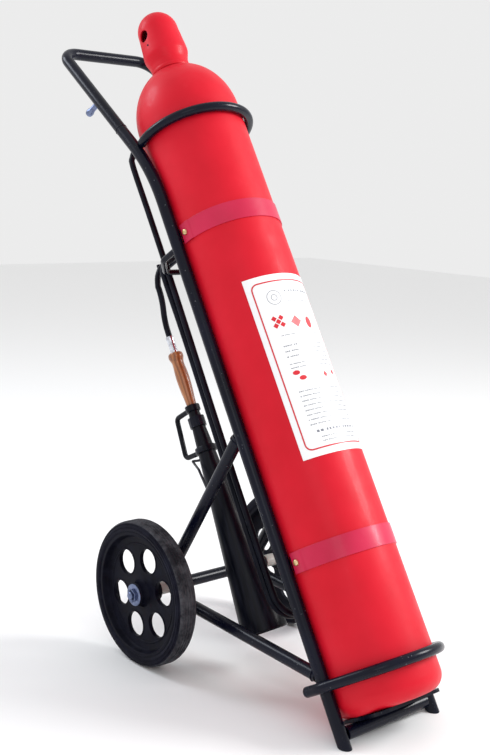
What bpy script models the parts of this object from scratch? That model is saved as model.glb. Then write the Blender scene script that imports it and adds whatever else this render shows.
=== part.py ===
"""Wheeled carbon dioxide fire extinguisher.

A tall steel cylinder with a screw-on valve cap stands on a two-wheeled tube trolley. The trolley is
modelled upright, cylinder axis on +Z, and everything hangs from one empty that leans it back until its
wheels and its two feet rest on the floor together.
"""

import math

import bmesh
import bpy
from mathutils import Matrix, Quaternion, Vector

GAP = 0.0003
SIDES = (-1, 1)

# Gas cylinder
SHELL_R = 0.1095
SHELL_WALL = 0.006
SHELL_BOTTOM = 0.034
BASE_CORNER_R = 0.033
SHOULDER_Z = 1.272
DOME_RISE = 0.1278
NECK_R = 0.031
NECK_TOP = 1.420
NECK_BORE_R = 0.0135
COLLAR_Z = 1.390
COLLAR_TOP = 1.4015
COLLAR_R = 0.0425
SPIGOT_R = 0.0365

# Valve cap
CAP_BOTTOM = COLLAR_TOP + GAP
CAP_WALL = 0.004
CAP_DOME_Z = 1.495
CAP_DOME_R = 0.0438
VENT_Z = 1.481
VENT_R = 0.013

# Trolley tubes
TUBE_R = 0.0125
TUBE_BORE_R = 0.0105
RAIL_X = 0.1205
RAIL_Y = 0.022
KNEE_Z = 1.169
KNEE_BEND_R = 0.38
GRIP_Y = 0.188
GRIP_Z = 1.5620
GRIP_BEND_R = 0.040
GRIP_SPLIT = 0.291
BASE_HOOP_Z = 0.1035
SHOULDER_HOOP_Z = 1.235
BASE_HOOP_TUBE_R = 0.0100
BASE_HOOP_LEAVES = math.radians(60.0)
BASE_HOOP_END_Y = 0.046
SHOULDER_HOOP_TUBE_R = 0.0095
STRUT_TOP_Z = 0.588
STRUT_FOOT_Z = 0.1245
STRUT_BEND_R = 0.045

# Axle and wheels
AXLE_Y = 0.375
AXLE_Z = 0.386
AXLE_R = 0.008
AXLE_HALF = 0.2332
NUT_BORE_R = 0.0097
WHEEL_R = 0.150
TYRE_BORE_R = 0.1283
RIM_R = 0.128
WHEEL_STEPS = 36
HUB_IN = 0.166
HUB_OUT = 0.219
HUB_R = 0.024
HUB_BORE_R = 0.0128
HOLE_COUNT = 6
HOLE_RING_R = 0.0742
HOLE_R = 0.0255
HOLE_PHASE = math.radians(45.9)

# Cylinder straps
STRAP_BOTTOMS = {"upper": 0.9906, "lower": 0.3075}
STRAP_HEIGHT = 0.040
STRAP_THICK = 0.002
STRAP_END = math.radians(93.5)
LUG_START = math.radians(81.0)
LUG_THICK = 0.0014
BOLT_ANGLE = math.radians(87.5)

# Hose, grip and horn
HOSE_R = 0.0065
HOSE_ARC_R = 0.054
LOOP_LEFT_X = -0.060
LOOP_RIGHT_X = LOOP_LEFT_X + 2 * HOSE_ARC_R
ARCH_TOP_Z = 1.048
LOOP_LOW_Z = 0.245
HORN_X = -0.030
HORN_Y = 0.246
FERRULE_TOP = 0.889
GRIP_TOP = 0.8515
GRIP_END = 0.7295
HORN_MOUTH_Z = 0.234
HORN_MOUTH_R = 0.0485
HORN_NECK_R = 0.012
HORN_WALL = 0.0025

# The lean that sets wheels and feet on one floor: the feet touch at their rear edges.
FOOT_EDGE_Y = RAIL_Y + TUBE_R
AXLE_REACH = math.hypot(AXLE_Y - FOOT_EDGE_Y, AXLE_Z)
LEAN = math.atan2(AXLE_Z, AXLE_Y - FOOT_EDGE_Y) - math.asin(WHEEL_R / AXLE_REACH)
BACK_SHIFT = -0.4351

COLOURS = {
    "red_paint": ((0.62, 0.010, 0.016), 0.34, 0.0),
    "black_paint": ((0.012, 0.012, 0.014), 0.32, 0.0),
    "zinc": ((0.62, 0.66, 0.72), 0.32, 1.0),
    "brass": ((0.70, 0.50, 0.20), 0.30, 1.0),
    "copper": ((0.72, 0.38, 0.24), 0.35, 1.0),
    "rubber": ((0.020, 0.020, 0.022), 0.75, 0.0),
    "cast_iron": ((0.022, 0.022, 0.026), 0.55, 0.0),
    "nylon": ((0.75, 0.74, 0.70), 0.50, 0.0),
    "wood": ((0.42, 0.17, 0.050), 0.42, 0.0),
    "horn_plastic": ((0.012, 0.012, 0.014), 0.38, 0.0),
}


def clear_scene():
    for obj in list(bpy.data.objects):
        bpy.data.objects.remove(obj, do_unlink=True)


def material(name):
    found = bpy.data.materials.get(name)
    if found:
        return found
    colour, roughness, metallic = COLOURS[name]
    made = bpy.data.materials.new(name)
    made.use_nodes = True
    shader = made.node_tree.nodes["Principled BSDF"]
    shader.inputs["Base Color"].default_value = (*colour, 1.0)
    shader.inputs["Roughness"].default_value = roughness
    shader.inputs["Metallic"].default_value = metallic
    return made


def place(obj, parent, finish):
    bpy.context.scene.collection.objects.link(obj)
    obj.parent = parent
    if finish:
        obj.data.materials.append(material(finish))
    return obj


def node(name, bm, parent, finish):
    """A named object from a bmesh, with its faces turned outwards and its round sides smooth."""
    bmesh.ops.remove_doubles(bm, verts=bm.verts, dist=1e-7)
    bmesh.ops.recalc_face_normals(bm, faces=bm.faces)
    mesh = bpy.data.meshes.new(name)
    bm.to_mesh(mesh)
    bm.free()
    mesh.shade_smooth()
    mesh.set_sharp_from_angle(angle=math.radians(35))
    return place(bpy.data.objects.new(name, mesh), parent, finish)


def cutter(name, bm, parent):
    """A hidden solid that only cuts others."""
    obj = node(name, bm, parent, None)
    obj.hide_render = True
    obj.display_type = "WIRE"
    return obj


def combine(obj, other, operation):
    step = obj.modifiers.new(other.name, "BOOLEAN")
    step.operation = operation
    step.solver = "EXACT"
    step.object = other


def cut(obj, *cutters):
    for other in cutters:
        combine(obj, other, "DIFFERENCE")


def turned(profile, steps, matrix=None, bm=None):
    """A closed (radius, height) outline turned about +Z, then moved by the matrix."""
    bm = bm or bmesh.new()
    before = set(bm.verts)
    ring = [bm.verts.new((radius, 0.0, height)) for radius, height in profile]
    edges = [bm.edges.new(pair) for pair in zip(ring, ring[1:] + ring[:1])]
    on_axis = [edge for edge in edges if all(v.co.x < 1e-9 for v in edge.verts)]
    spun = [item for item in ring + edges if item not in on_axis]
    bmesh.ops.spin(bm, geom=spun, cent=(0, 0, 0), axis=(0, 0, 1), angle=math.tau, steps=steps, use_merge=True)
    bmesh.ops.delete(bm, geom=[e for e in bm.edges if not e.link_faces], context="EDGES")
    fresh = [v for v in bm.verts if v not in before]
    bmesh.ops.remove_doubles(bm, verts=fresh, dist=1e-7)
    if matrix:
        fresh = [v for v in bm.verts if v not in before]
        bmesh.ops.transform(bm, matrix=matrix, verts=fresh)
    return bm


def arc(centre, radius, start, end, steps):
    """Points of an arc in a plane, from one angle in degrees to another."""
    angles = [math.radians(start + (end - start) * i / steps) for i in range(steps + 1)]
    return [(centre[0] + radius * math.cos(a), centre[1] + radius * math.sin(a)) for a in angles]


def filleted(points, radius, steps=6):
    """A path through the points, with each inner corner rounded to the radius."""
    points = [Vector(point) for point in points]
    path = [points[0]]
    for before, corner, after in zip(points, points[1:], points[2:]):
        to_before = (before - corner).normalized()
        to_after = (after - corner).normalized()
        half = to_before.angle(to_after) / 2
        centre = corner + (to_before + to_after).normalized() * (radius / math.sin(half))
        start = corner + to_before * (radius / math.tan(half)) - centre
        end = corner + to_after * (radius / math.tan(half)) - centre
        turn = start.rotation_difference(end)
        path += [centre + Quaternion().slerp(turn, i / steps) @ start for i in range(steps + 1)]
    return path + [points[-1]]


def swept(path, radius, bore=0.0, sides=12, bm=None):
    """A round bar, or a tube with open ends where a bore is given, along the path."""
    bm = bm or bmesh.new()
    path = [Vector(point) for point in path]
    heading = (path[1] - path[0]).normalized()
    across = heading.orthogonal().normalized()
    walls = [[] for _ in range(2 if bore else 1)]
    for index, point in enumerate(path):
        ahead = path[min(index + 1, len(path) - 1)]
        behind = path[max(index - 1, 0)]
        turned_to = (ahead - behind).normalized()
        across = heading.rotation_difference(turned_to) @ across
        heading = turned_to
        up = heading.cross(across)
        for wall, size in zip(walls, (radius, bore)):
            angles = [math.tau * k / sides for k in range(sides)]
            wall.append([bm.verts.new(point + size * (math.cos(a) * across + math.sin(a) * up)) for a in angles])
    for wall in walls:
        for first, second in zip(wall, wall[1:]):
            for k in range(sides):
                bm.faces.new((first[k], first[k - 1], second[k - 1], second[k]))
    for end in (0, -1):
        if not bore:
            bm.faces.new(walls[0][end])
            continue
        outer, inner = walls[0][end], walls[1][end]
        for k in range(sides):
            bm.faces.new((outer[k], outer[k - 1], inner[k - 1], inner[k]))
    return bm


def prism(outline, low, high, matrix=None, bm=None):
    """An outline in the XY plane raised from one height to another, then moved by the matrix."""
    bm = bm or bmesh.new()
    matrix = matrix or Matrix.Identity(4)
    floors = [[bm.verts.new(matrix @ Vector((x, y, z))) for x, y in outline] for z in (low, high)]
    for floor in floors:
        bm.faces.new(floor)
    for k in range(len(outline)):
        bm.faces.new((floors[0][k], floors[0][k - 1], floors[1][k - 1], floors[1][k]))
    return bm


def along_x(x, y, z):
    """Turns +Z work to lie along +X, at a point."""
    return Matrix.Translation((x, y, z)) @ Matrix.Rotation(math.pi / 2, 4, "Y")


def along_y(x, y, z):
    """Turns +Z work to lie along +Y, at a point."""
    return Matrix.Translation((x, y, z)) @ Matrix.Rotation(-math.pi / 2, 4, "X")


def hexagon(across_flats):
    corner = across_flats / math.sqrt(3)
    return arc((0, 0), corner, 0, 300, 5)


def around(angle, radius):
    """A plan point at an angle from the front of the cylinder, positive towards +X."""
    return radius * math.sin(angle), -radius * math.cos(angle)


def rounded_rectangle(half_x, half_y, corner):
    centres = ((1, 1, 0), (-1, 1, 90), (-1, -1, 180), (1, -1, 270))
    outline = []
    for sx, sy, start in centres:
        outline += arc((sx * (half_x - corner), sy * (half_y - corner)), corner, start, start + 90, 3)
    return outline


# ---------------------------------------------------------------- gas cylinder


def dome(radius, rise, start, end, steps):
    """Points of the slightly flattened shoulder."""
    return [(radius * x, SHOULDER_Z + rise * y) for x, y in arc((0, 0), 1.0, start, end, steps)]


def cylinder_shell(root):
    corner = (SHELL_R - BASE_CORNER_R, SHELL_BOTTOM + BASE_CORNER_R)
    outer = [(0, SHELL_BOTTOM + 0.026), (0.045, SHELL_BOTTOM + 0.019), (0.068, SHELL_BOTTOM + 0.005)]
    outer += arc(corner, BASE_CORNER_R, -90, 0, 5)
    dome_end = math.degrees(math.acos(0.040 / SHELL_R))
    outer += dome(SHELL_R, DOME_RISE, 0, dome_end, 8)
    outer += [(0.0345, 1.3895), (NECK_R, 1.394), (NECK_R, NECK_TOP), (NECK_BORE_R, NECK_TOP)]
    inner_r = SHELL_R - SHELL_WALL
    bore_end = math.degrees(math.acos(NECK_BORE_R / inner_r))
    inner = dome(inner_r, DOME_RISE - SHELL_WALL, bore_end, 0, 8)
    inner += [(inner_r, SHELL_BOTTOM + 0.036), (0.095, SHELL_BOTTOM + 0.020), (0.072, SHELL_BOTTOM + 0.013)]
    inner += [(0.045, SHELL_BOTTOM + 0.027), (0, SHELL_BOTTOM + 0.034)]
    node("cylinder_shell", turned(outer + inner, 36), root, "red_paint")


def neck_collar(root):
    bore = NECK_R + GAP
    profile = [(bore, COLLAR_Z + 0.004), (COLLAR_R - 0.004, COLLAR_Z + 0.002), (COLLAR_R, COLLAR_Z + 0.005)]
    profile += [(COLLAR_R, COLLAR_TOP), (SPIGOT_R, COLLAR_TOP), (SPIGOT_R, 1.424), (bore, 1.424)]
    node("neck_collar", turned(profile, 32), root, "red_paint")


def valve_body(root):
    shank = NECK_BORE_R - GAP
    profile = [(0, 1.376), (shank, 1.376), (shank, NECK_TOP + GAP), (0.017, NECK_TOP + GAP), (0.017, 1.458)]
    profile += [(0.0125, 1.462), (0.0125, 1.474), (0.010, 1.477), (0.0043, 1.477), (0.0043, 1.450), (0, 1.450)]
    body = node("valve_body", turned(profile, 20), root, "brass")
    port = turned([(0, -0.030), (0.0085, -0.030), (0.0085, 0), (0.011, 0), (0.011, 0.026), (0, 0.026)], 16)
    bmesh.ops.transform(port, matrix=along_y(0, 0, 1.440), verts=port.verts)
    combine(body, cutter("valve_ports", port, root), "UNION")


def valve_fittings(root):
    plug = prism(hexagon(0.021), 0.0263, 0.0335, along_y(0, 0, 1.440))
    node("valve_outlet_plug", plug, root, "brass")
    disc = prism(hexagon(0.015), -0.0345, -0.0303, along_y(0, 0, 1.440))
    node("burst_disc_nut", disc, root, "brass")
    tube = swept([(0, 0, 0.068), (0, 0, 1.3757)], 0.006, 0.0045, 10)
    node("dip_tube", tube, root, "copper")


def handwheel(pivot):
    """Spindle, wheel and nut turn together, so they hang from an empty on the valve's axis."""
    spindle = turned([(0, 1.4518), (0.004, 1.4518), (0.004, 1.4960), (0, 1.4960)], 12)
    node("valve_spindle", spindle, pivot, "zinc")
    rim = turned([(0.0255, 1.484), (0.0300, 1.484), (0.0315, 1.488), (0.0300, 1.492), (0.0255, 1.492)], 24)
    wheel = node("valve_handwheel", rim, pivot, "black_paint")
    hub = turned([(0.0043, 1.4835), (0.009, 1.4835), (0.009, 1.4925), (0.0043, 1.4925)], 12)
    for k in range(4):
        bar = Matrix.Rotation(math.tau * k / 4, 4, "Z")
        prism([(0.0075, -0.003), (0.027, -0.003), (0.027, 0.003), (0.0075, 0.003)], 1.4855, 1.4905, bar, hub)
    combine(wheel, cutter("handwheel_spokes", hub, pivot), "UNION")
    wheel.modifiers[-1].use_self = True
    nut = turned([(0.0050, 1.4928), (0.0075, 1.4928), (0.0075, 1.4955), (0.0050, 1.4955)], 6)
    node("handwheel_nut", nut, pivot, "zinc")


def valve_cap(pivot):
    outer = [(0.0405, CAP_BOTTOM), (0.0412, 1.413), (0.0468, 1.430), (0.0478, 1.436), (0.0472, 1.446)]
    outer += [(0.0457, 1.470)]
    outer += arc((0, CAP_DOME_Z), CAP_DOME_R, 0, 90, 8)
    inner = arc((0, CAP_DOME_Z), CAP_DOME_R - CAP_WALL, 90, 0, 7)
    inner += [(0.0420, 1.470), (0.0415, 1.434), (SPIGOT_R + GAP, 1.427), (SPIGOT_R + GAP, CAP_BOTTOM)]
    cap = node("valve_cap", turned(outer + inner, 32), pivot, "red_paint")
    vent = turned([(0, -0.06), (VENT_R, -0.06), (VENT_R, 0.06), (0, 0.06)], 20, along_x(0, 0, VENT_Z))
    cut(cap, cutter("cap_vents", vent, pivot))


# ---------------------------------------------------------------- trolley frame


def arm_direction():
    return Vector((0, GRIP_Y - RAIL_Y, GRIP_Z - KNEE_Z)).normalized()


def rail_path(side, low):
    """Up the cylinder's side, back at the knee, and along the handle arm to the joint with the grip."""
    x = side * RAIL_X
    top = Vector((x, GRIP_Y, GRIP_Z)) - arm_direction() * (GRIP_SPLIT + GAP)
    return filleted([(x, RAIL_Y, low), (x, RAIL_Y, KNEE_Z), top], KNEE_BEND_R, 7)


def side_name(side):
    return "left" if side < 0 else "right"


def rail_cutter(side, root):
    """The rail and the handle arm above it as one tube, for trimming what is fixed to either."""
    x = side * RAIL_X
    top = Vector((x, GRIP_Y, GRIP_Z)) - arm_direction() * GRIP_BEND_R
    path = filleted([(x, RAIL_Y, 0.0), (x, RAIL_Y, KNEE_Z), top], KNEE_BEND_R, 7)
    return cutter(f"rail_clearance_{side_name(side)}", swept(path, TUBE_R + GAP), root)


def hoop_path(height, tube_r, half_angle, steps):
    angles = [math.radians(half_angle) * (2 * i / steps - 1) for i in range(steps + 1)]
    return [(*around(a, SHELL_R + tube_r + 0.0006), height) for a in angles]


def base_hoop_path(steps, bend_steps):
    """Close round the cylinder's front, then out past both rails to open ends on their outer sides."""
    close = SHELL_R + BASE_HOOP_TUBE_R + 0.0006
    angles = [BASE_HOOP_LEAVES * (2 * i / steps - 1) for i in range(steps + 1)]
    front = [Vector((*around(a, close), BASE_HOOP_Z)) for a in angles]
    outer = RAIL_X + TUBE_R + BASE_HOOP_TUBE_R + GAP
    run = (outer - front[-1].x) * math.tan(BASE_HOOP_LEAVES)
    tail = [front[-1], (outer, front[-1].y + run, BASE_HOOP_Z), (outer, BASE_HOOP_END_Y, BASE_HOOP_Z)]
    tail = [Vector(point) for point in filleted(tail, 0.040, bend_steps)]
    mirrored = [Vector((-point.x, point.y, point.z)) for point in reversed(tail)]
    return mirrored + front[1:-1] + tail


def rails(root):
    for side in SIDES:
        name = side_name(side)
        rail = swept(rail_path(side, BASE_HOOP_Z + GAP), TUBE_R, TUBE_BORE_R)
        node(f"rail_{name}", rail, root, "black_paint")
        x = side * RAIL_X
        stub = swept([(x, RAIL_Y, -0.05), (x, RAIL_Y, BASE_HOOP_Z)], TUBE_R, 0.0, 20)
        trim_to_floor(stub)
        node(f"foot_{name}", stub, root, "black_paint")


def trim_to_floor(bm):
    """Cuts a foot flat on the plane the trolley rests on."""
    down = Vector((0, math.sin(LEAN), -math.cos(LEAN)))
    everything = bm.verts[:] + bm.edges[:] + bm.faces[:]
    bmesh.ops.bisect_plane(bm, geom=everything, plane_co=(0, FOOT_EDGE_Y, 0), plane_no=down, clear_outer=True)
    bmesh.ops.holes_fill(bm, edges=[edge for edge in bm.edges if edge.is_boundary], sides=0)


def grip_bar(root):
    corners = [Vector((side * RAIL_X, GRIP_Y, GRIP_Z)) for side in SIDES]
    ends = [corner - arm_direction() * GRIP_SPLIT for corner in corners]
    path = filleted([ends[0], corners[0], corners[1], ends[1]], GRIP_BEND_R, 6)
    node("handle_grip_bar", swept(path, TUBE_R, TUBE_BORE_R), root, "black_paint")


def hoops(root, rail_cutters):
    tube_r = SHOULDER_HOOP_TUBE_R
    path = hoop_path(SHOULDER_HOOP_Z, tube_r, 106, 24)
    shoulder = node("shoulder_hoop", swept(path, tube_r, tube_r - 0.002, 10), root, "black_paint")
    cut(shoulder, *rail_cutters)
    tube_r = BASE_HOOP_TUBE_R
    path = base_hoop_path(18, 4)
    node("base_hoop", swept(path, tube_r, tube_r - 0.002, 10), root, "black_paint")


def strut_path(side):
    """A V of tube: rail to axle and back to the rail, its bend wrapped round the axle's centre."""
    x = side * RAIL_X
    ends = [Vector((x, FOOT_EDGE_Y - 0.006, z)) for z in (STRUT_TOP_Z, STRUT_FOOT_Z)]
    axle = Vector((x, AXLE_Y, AXLE_Z))
    corner = axle.copy()
    for _ in range(12):
        to_ends = [(end - corner).normalized() for end in ends]
        half = to_ends[0].angle(to_ends[1]) / 2
        inward = (to_ends[0] + to_ends[1]).normalized()
        corner = axle - inward * STRUT_BEND_R * (1 / math.sin(half) - 1)
    return filleted([ends[0], corner, ends[1]], STRUT_BEND_R, 8)


def struts(root, rail_cutters):
    drill = turned([(0, -0.15), (AXLE_R + GAP, -0.15), (AXLE_R + GAP, 0.15), (0, 0.15)], 16)
    bmesh.ops.transform(drill, matrix=along_x(0, AXLE_Y, AXLE_Z), verts=drill.verts)
    axle_clearance = cutter("axle_clearance", drill, root)
    for side, rail in zip(SIDES, rail_cutters):
        tube = swept(strut_path(side), TUBE_R, TUBE_BORE_R)
        strut = node(f"strut_{side_name(side)}", tube, root, "black_paint")
        cut(strut, rail, axle_clearance)


def cross_tubes(root):
    reach = RAIL_X - TUBE_R - GAP
    axle_tube = swept([(-reach, AXLE_Y, AXLE_Z), (reach, AXLE_Y, AXLE_Z)], TUBE_R, TUBE_BORE_R)
    node("axle_tube", axle_tube, root, "black_paint")
    crossbar = swept([(-reach, RAIL_Y, 0.0145), (reach, RAIL_Y, 0.0145)], TUBE_R, TUBE_BORE_R)
    node("base_crossbar", crossbar, root, "black_paint")
    plate = prism(rounded_rectangle(0.085, 0.060, 0.020), 0.0145 + TUBE_R + GAP, SHELL_BOTTOM - GAP)
    node("base_plate", plate, root, "black_paint")


# ---------------------------------------------------------------- straps


def strap_radius(angle):
    """Inner radius of a strap: on the cylinder, then stepped out over the lug at each end."""
    stepped = LUG_START - math.radians(2.5)
    blend = min(max((abs(angle) - stepped) / math.radians(2), 0), 1)
    return SHELL_R + GAP + blend * (LUG_THICK + GAP)


def strap_outline():
    edge = LUG_START - math.radians(2.5)
    front = [edge * (2 * i / 24 - 1) for i in range(25)]
    ends = [edge + math.radians(2), (edge + STRAP_END) / 2 + math.radians(1), STRAP_END]
    angles = [-a for a in reversed(ends)] + front + ends
    inner = [around(a, strap_radius(a)) for a in angles]
    outer = [around(a, strap_radius(a) + STRAP_THICK) for a in angles]
    return inner + outer[::-1]


def radial(side, height):
    """Turns +Z work to point outwards through a strap bolt's place."""
    angle = side * BOLT_ANGLE
    outward = Vector((*around(angle, 1.0), 0))
    turn = Vector((0, 0, 1)).rotation_difference(outward).to_matrix().to_4x4()
    return Matrix.Translation((0, 0, height)) @ turn


def strap_lug(bottom, side):
    turns = [side * math.radians(a) for a in (81.0, 86.0, 91.0, 96.5)]
    inner = SHELL_R + GAP
    outline = [around(a, inner) for a in turns] + [around(a, inner + LUG_THICK) for a in turns[::-1]]
    return prism(outline, bottom + 0.006, bottom + STRAP_HEIGHT - 0.006)


def straps(root, rail_cutters):
    inner = SHELL_R + GAP
    head = inner + LUG_THICK + GAP + STRAP_THICK + GAP
    for name, bottom in STRAP_BOTTOMS.items():
        height = bottom + STRAP_HEIGHT / 2
        drills = []
        for side in SIDES:
            end = f"{name}_{side_name(side)}"
            bore = 0.003 + GAP
            drill = [(0, inner - 0.003), (bore, inner - 0.003), (bore, head + 0.003), (0, head + 0.003)]
            drills.append(cutter(f"bolt_hole_{end}", turned(drill, 12, radial(side, height)), root))
            lug = node(f"strap_lug_{end}", strap_lug(bottom, side), root, "black_paint")
            cut(lug, drills[-1], rail_cutters[SIDES.index(side)])
            shank = [(0, inner + 0.0005), (0.003, inner + 0.0005), (0.003, head), (0.0062, head)]
            shank += [(0.0056, head + 0.003), (0.003, head + 0.0042), (0, head + 0.0042)]
            node(f"strap_bolt_{end}", turned(shank, 12, radial(side, height)), root, "zinc")
        strap = node(f"strap_{name}", prism(strap_outline(), bottom, bottom + STRAP_HEIGHT), root, "red_paint")
        cut(strap, *drills)


# ---------------------------------------------------------------- axle and wheels


def wheel_axis(side):
    """Turns +Z work to lie along the axle, with height as distance from the trolley's middle."""
    spin = Matrix.Rotation(LEAN, 4, "X")
    turn = Matrix.Rotation(side * math.pi / 2, 4, "Y")
    return Matrix.Translation((0, AXLE_Y, AXLE_Z)) @ spin @ turn


def wheel_pivot(side, root):
    pivot = bpy.data.objects.new(f"wheel_pivot_{side_name(side)}", None)
    pivot.location = (0, AXLE_Y, AXLE_Z)
    return place(pivot, root, None)


def on_pivot(bm):
    bmesh.ops.translate(bm, verts=bm.verts, vec=(0, -AXLE_Y, -AXLE_Z))
    return bm


def wheel(side, root):
    pivot = wheel_pivot(side, root)
    name = side_name(side)
    axis = wheel_axis(side)
    tread = [(TYRE_BORE_R, 0.1760), (0.1340, 0.1735), (0.1440, 0.1745), (0.1493, 0.1800), (WHEEL_R, 0.1880)]
    tread += [(WHEEL_R, 0.2040), (0.1493, 0.2120), (0.1440, 0.2175), (0.1340, 0.2185), (TYRE_BORE_R, 0.2160)]
    node(f"tyre_{name}", on_pivot(turned(tread, WHEEL_STEPS, axis)), pivot, "rubber")
    rim = [(HUB_BORE_R, HUB_IN), (HUB_R, HUB_IN), (0.026, 0.190), (0.030, 0.194), (0.110, 0.194)]
    rim += [(0.118, 0.190), (0.120, 0.176), (RIM_R, 0.176), (RIM_R, 0.216), (0.120, 0.216), (0.118, 0.206)]
    rim += [(0.110, 0.202), (0.030, 0.202), (0.026, 0.206), (HUB_R, HUB_OUT), (HUB_BORE_R, HUB_OUT)]
    disc = node(f"wheel_{name}", on_pivot(turned(rim, WHEEL_STEPS, axis)), pivot, "cast_iron")
    holes = bmesh.new()
    for k in range(HOLE_COUNT):
        turn = Matrix.Rotation(HOLE_PHASE + math.tau * k / HOLE_COUNT, 4, "Z")
        place_hole = axis @ turn @ Matrix.Translation((HOLE_RING_R, 0, 0))
        turned([(0, 0.18), (HOLE_R, 0.18), (HOLE_R, 0.22), (0, 0.22)], 14, place_hole, holes)
    cut(disc, cutter(f"wheel_holes_{name}", on_pivot(holes), pivot))
    bore = AXLE_R + GAP
    bush = [(bore, 0.1335), (0.0135, 0.1335), (0.0135, 0.1655), (HUB_BORE_R - GAP, 0.1657)]
    bush += [(HUB_BORE_R - GAP, 0.2195), (bore, 0.2195)]
    node(f"hub_bush_{name}", on_pivot(turned(bush, 16, axis)), pivot, "nylon")


def axle(root):
    bar = turned([(0, -AXLE_HALF), (AXLE_R, -AXLE_HALF), (AXLE_R, AXLE_HALF), (0, AXLE_HALF)], 16)
    bmesh.ops.transform(bar, matrix=along_x(0, AXLE_Y, AXLE_Z), verts=bar.verts)
    rod = node("axle", bar, root, "zinc")
    bore = AXLE_R + GAP
    for side in SIDES:
        name = side_name(side)
        axis = wheel_axis(side)
        washer = turned([(bore, 0.2198), (0.0225, 0.2198), (0.0225, 0.2222), (bore, 0.2222)], 20, axis)
        node(f"axle_washer_{name}", washer, root, "zinc")
        nut = turned([(NUT_BORE_R, 0.2225), (0.0145, 0.2225), (0.0145, 0.2285), (NUT_BORE_R, 0.2285)], 6, axis)
        node(f"axle_nut_{name}", nut, root, "zinc")
        x = side * 0.2308
        pin = swept([(x, AXLE_Y, AXLE_Z - 0.0145), (x, AXLE_Y, AXLE_Z + 0.0135)], 0.0016, 0.0, 8)
        node(f"cotter_pin_{name}", pin, root, "zinc")
        hole = swept([(x, AXLE_Y, AXLE_Z - 0.02), (x, AXLE_Y, AXLE_Z + 0.02)], 0.0016 + GAP, 0.0, 8)
        cut(rod, cutter(f"pin_hole_{name}", hole, root))


# ---------------------------------------------------------------- hose, grip, horn and their holders


def hose_brace(root, rail_cutters):
    """A bar bent behind the cylinder from rail to rail, with a peg that the hose loops hang on."""
    height = 0.990
    bends = [(-RAIL_X, RAIL_Y, height), (-RAIL_X, 0.078, height), (-0.078, 0.134, height)]
    bends += [(-x, y, z) for x, y, z in reversed(bends)]
    brace = node("hose_brace", swept(filleted(bends, 0.020, 3), 0.006, 0.0, 10), root, "black_paint")
    cut(brace, *rail_cutters)
    x = (LOOP_LEFT_X + LOOP_RIGHT_X) / 2
    peg_z = ARCH_TOP_Z - HOSE_R - GAP - 0.0055
    bends = [(x, 0.134, height + 0.006 + GAP), (x, 0.134, peg_z), (x, 0.236, peg_z), (x, 0.236, peg_z + 0.022)]
    node("hose_peg", swept(filleted(bends, 0.010, 3), 0.004, 0.0, 8), root, "black_paint")


def parking_peg(root, rail_cutters):
    """A bent bar on the right handle arm that the hose's coupling is screwed onto while it is stowed."""
    bends = [(RAIL_X, 0.086, 1.310), (RAIL_X, 0.136, 1.310), (0.0855, 0.136, 1.310)]
    peg = node("coupling_peg", swept(filleted(bends, 0.014, 3), 0.005, 0.0, 8), root, "black_paint")
    cut(peg, rail_cutters[1])
    nut = prism(hexagon(0.022), 0.058, 0.0852, along_x(0, 0.136, 1.310))
    node("hose_coupling", nut, root, "brass")
    sleeve = turned([(0, 0.0436), (0.009, 0.0436), (0.0095, 0.0577), (0, 0.0577)], 12, along_x(0, 0.136, 1.310))
    node("coupling_sleeve", sleeve, root, "zinc")


def handle_hook(root, rail_cutters):
    """A short stub with a round end on the back of the left handle arm."""
    outline = [(0, 0.110), (0.0062, 0.110), (0.0062, 0.149), (0.0082, 0.153), (0.0082, 0.160), (0.0050, 0.1645)]
    stub = turned(outline + [(0, 0.1645)], 14, along_y(-RAIL_X, 0, 1.388))
    hook = node("handle_hook", stub, root, "zinc")
    cut(hook, rail_cutters[0])


def half_loop(start_x, end_x, centre_z, y_from, y_to, steps=8):
    """A half turn of hose between two hanging runs, over the top or under the bottom."""
    middle = (start_x + end_x) / 2
    up = 1 if centre_z > 0.6 else -1
    points = []
    for i in range(steps + 1):
        share = i / steps
        angle = math.pi * share
        x = middle + (start_x - middle) * math.cos(angle)
        points.append(Vector((x, y_from + (y_to - y_from) * share, centre_z + up * HOSE_ARC_R * math.sin(angle))))
    return points


def hanging_run(start, end, steps):
    """The points between the ends of a nearly straight run of hose, bowed a little like real hose."""
    sway = Vector((0.0016, 0.0, 0.0))
    points = []
    for i in range(1, steps):
        share = i / steps
        points.append(start.lerp(end, share) + sway * math.sin(math.tau * share))
    return points


def eased_drop(start, end, steps):
    """A hanging S bend from over one point to over another, both its ends pointing straight down."""
    radius = 0.070
    across = Vector((end.x - start.x, end.y - start.y, 0))
    lean = math.acos(1 - across.length / (2 * radius))
    across.normalize()
    upper = Vector((start.x, start.y, end.z + 2 * radius * math.sin(lean)))
    points = []
    for i in range(steps + 1):
        turn = lean * i / steps
        points.append(upper + across * radius * (1 - math.cos(turn)) - Vector((0, 0, radius * math.sin(turn))))
    for i in range(steps - 1, -1, -1):
        turn = lean * i / steps
        points.append(end - across * radius * (1 - math.cos(turn)) + Vector((0, 0, radius * math.sin(turn))))
    return points


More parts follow.
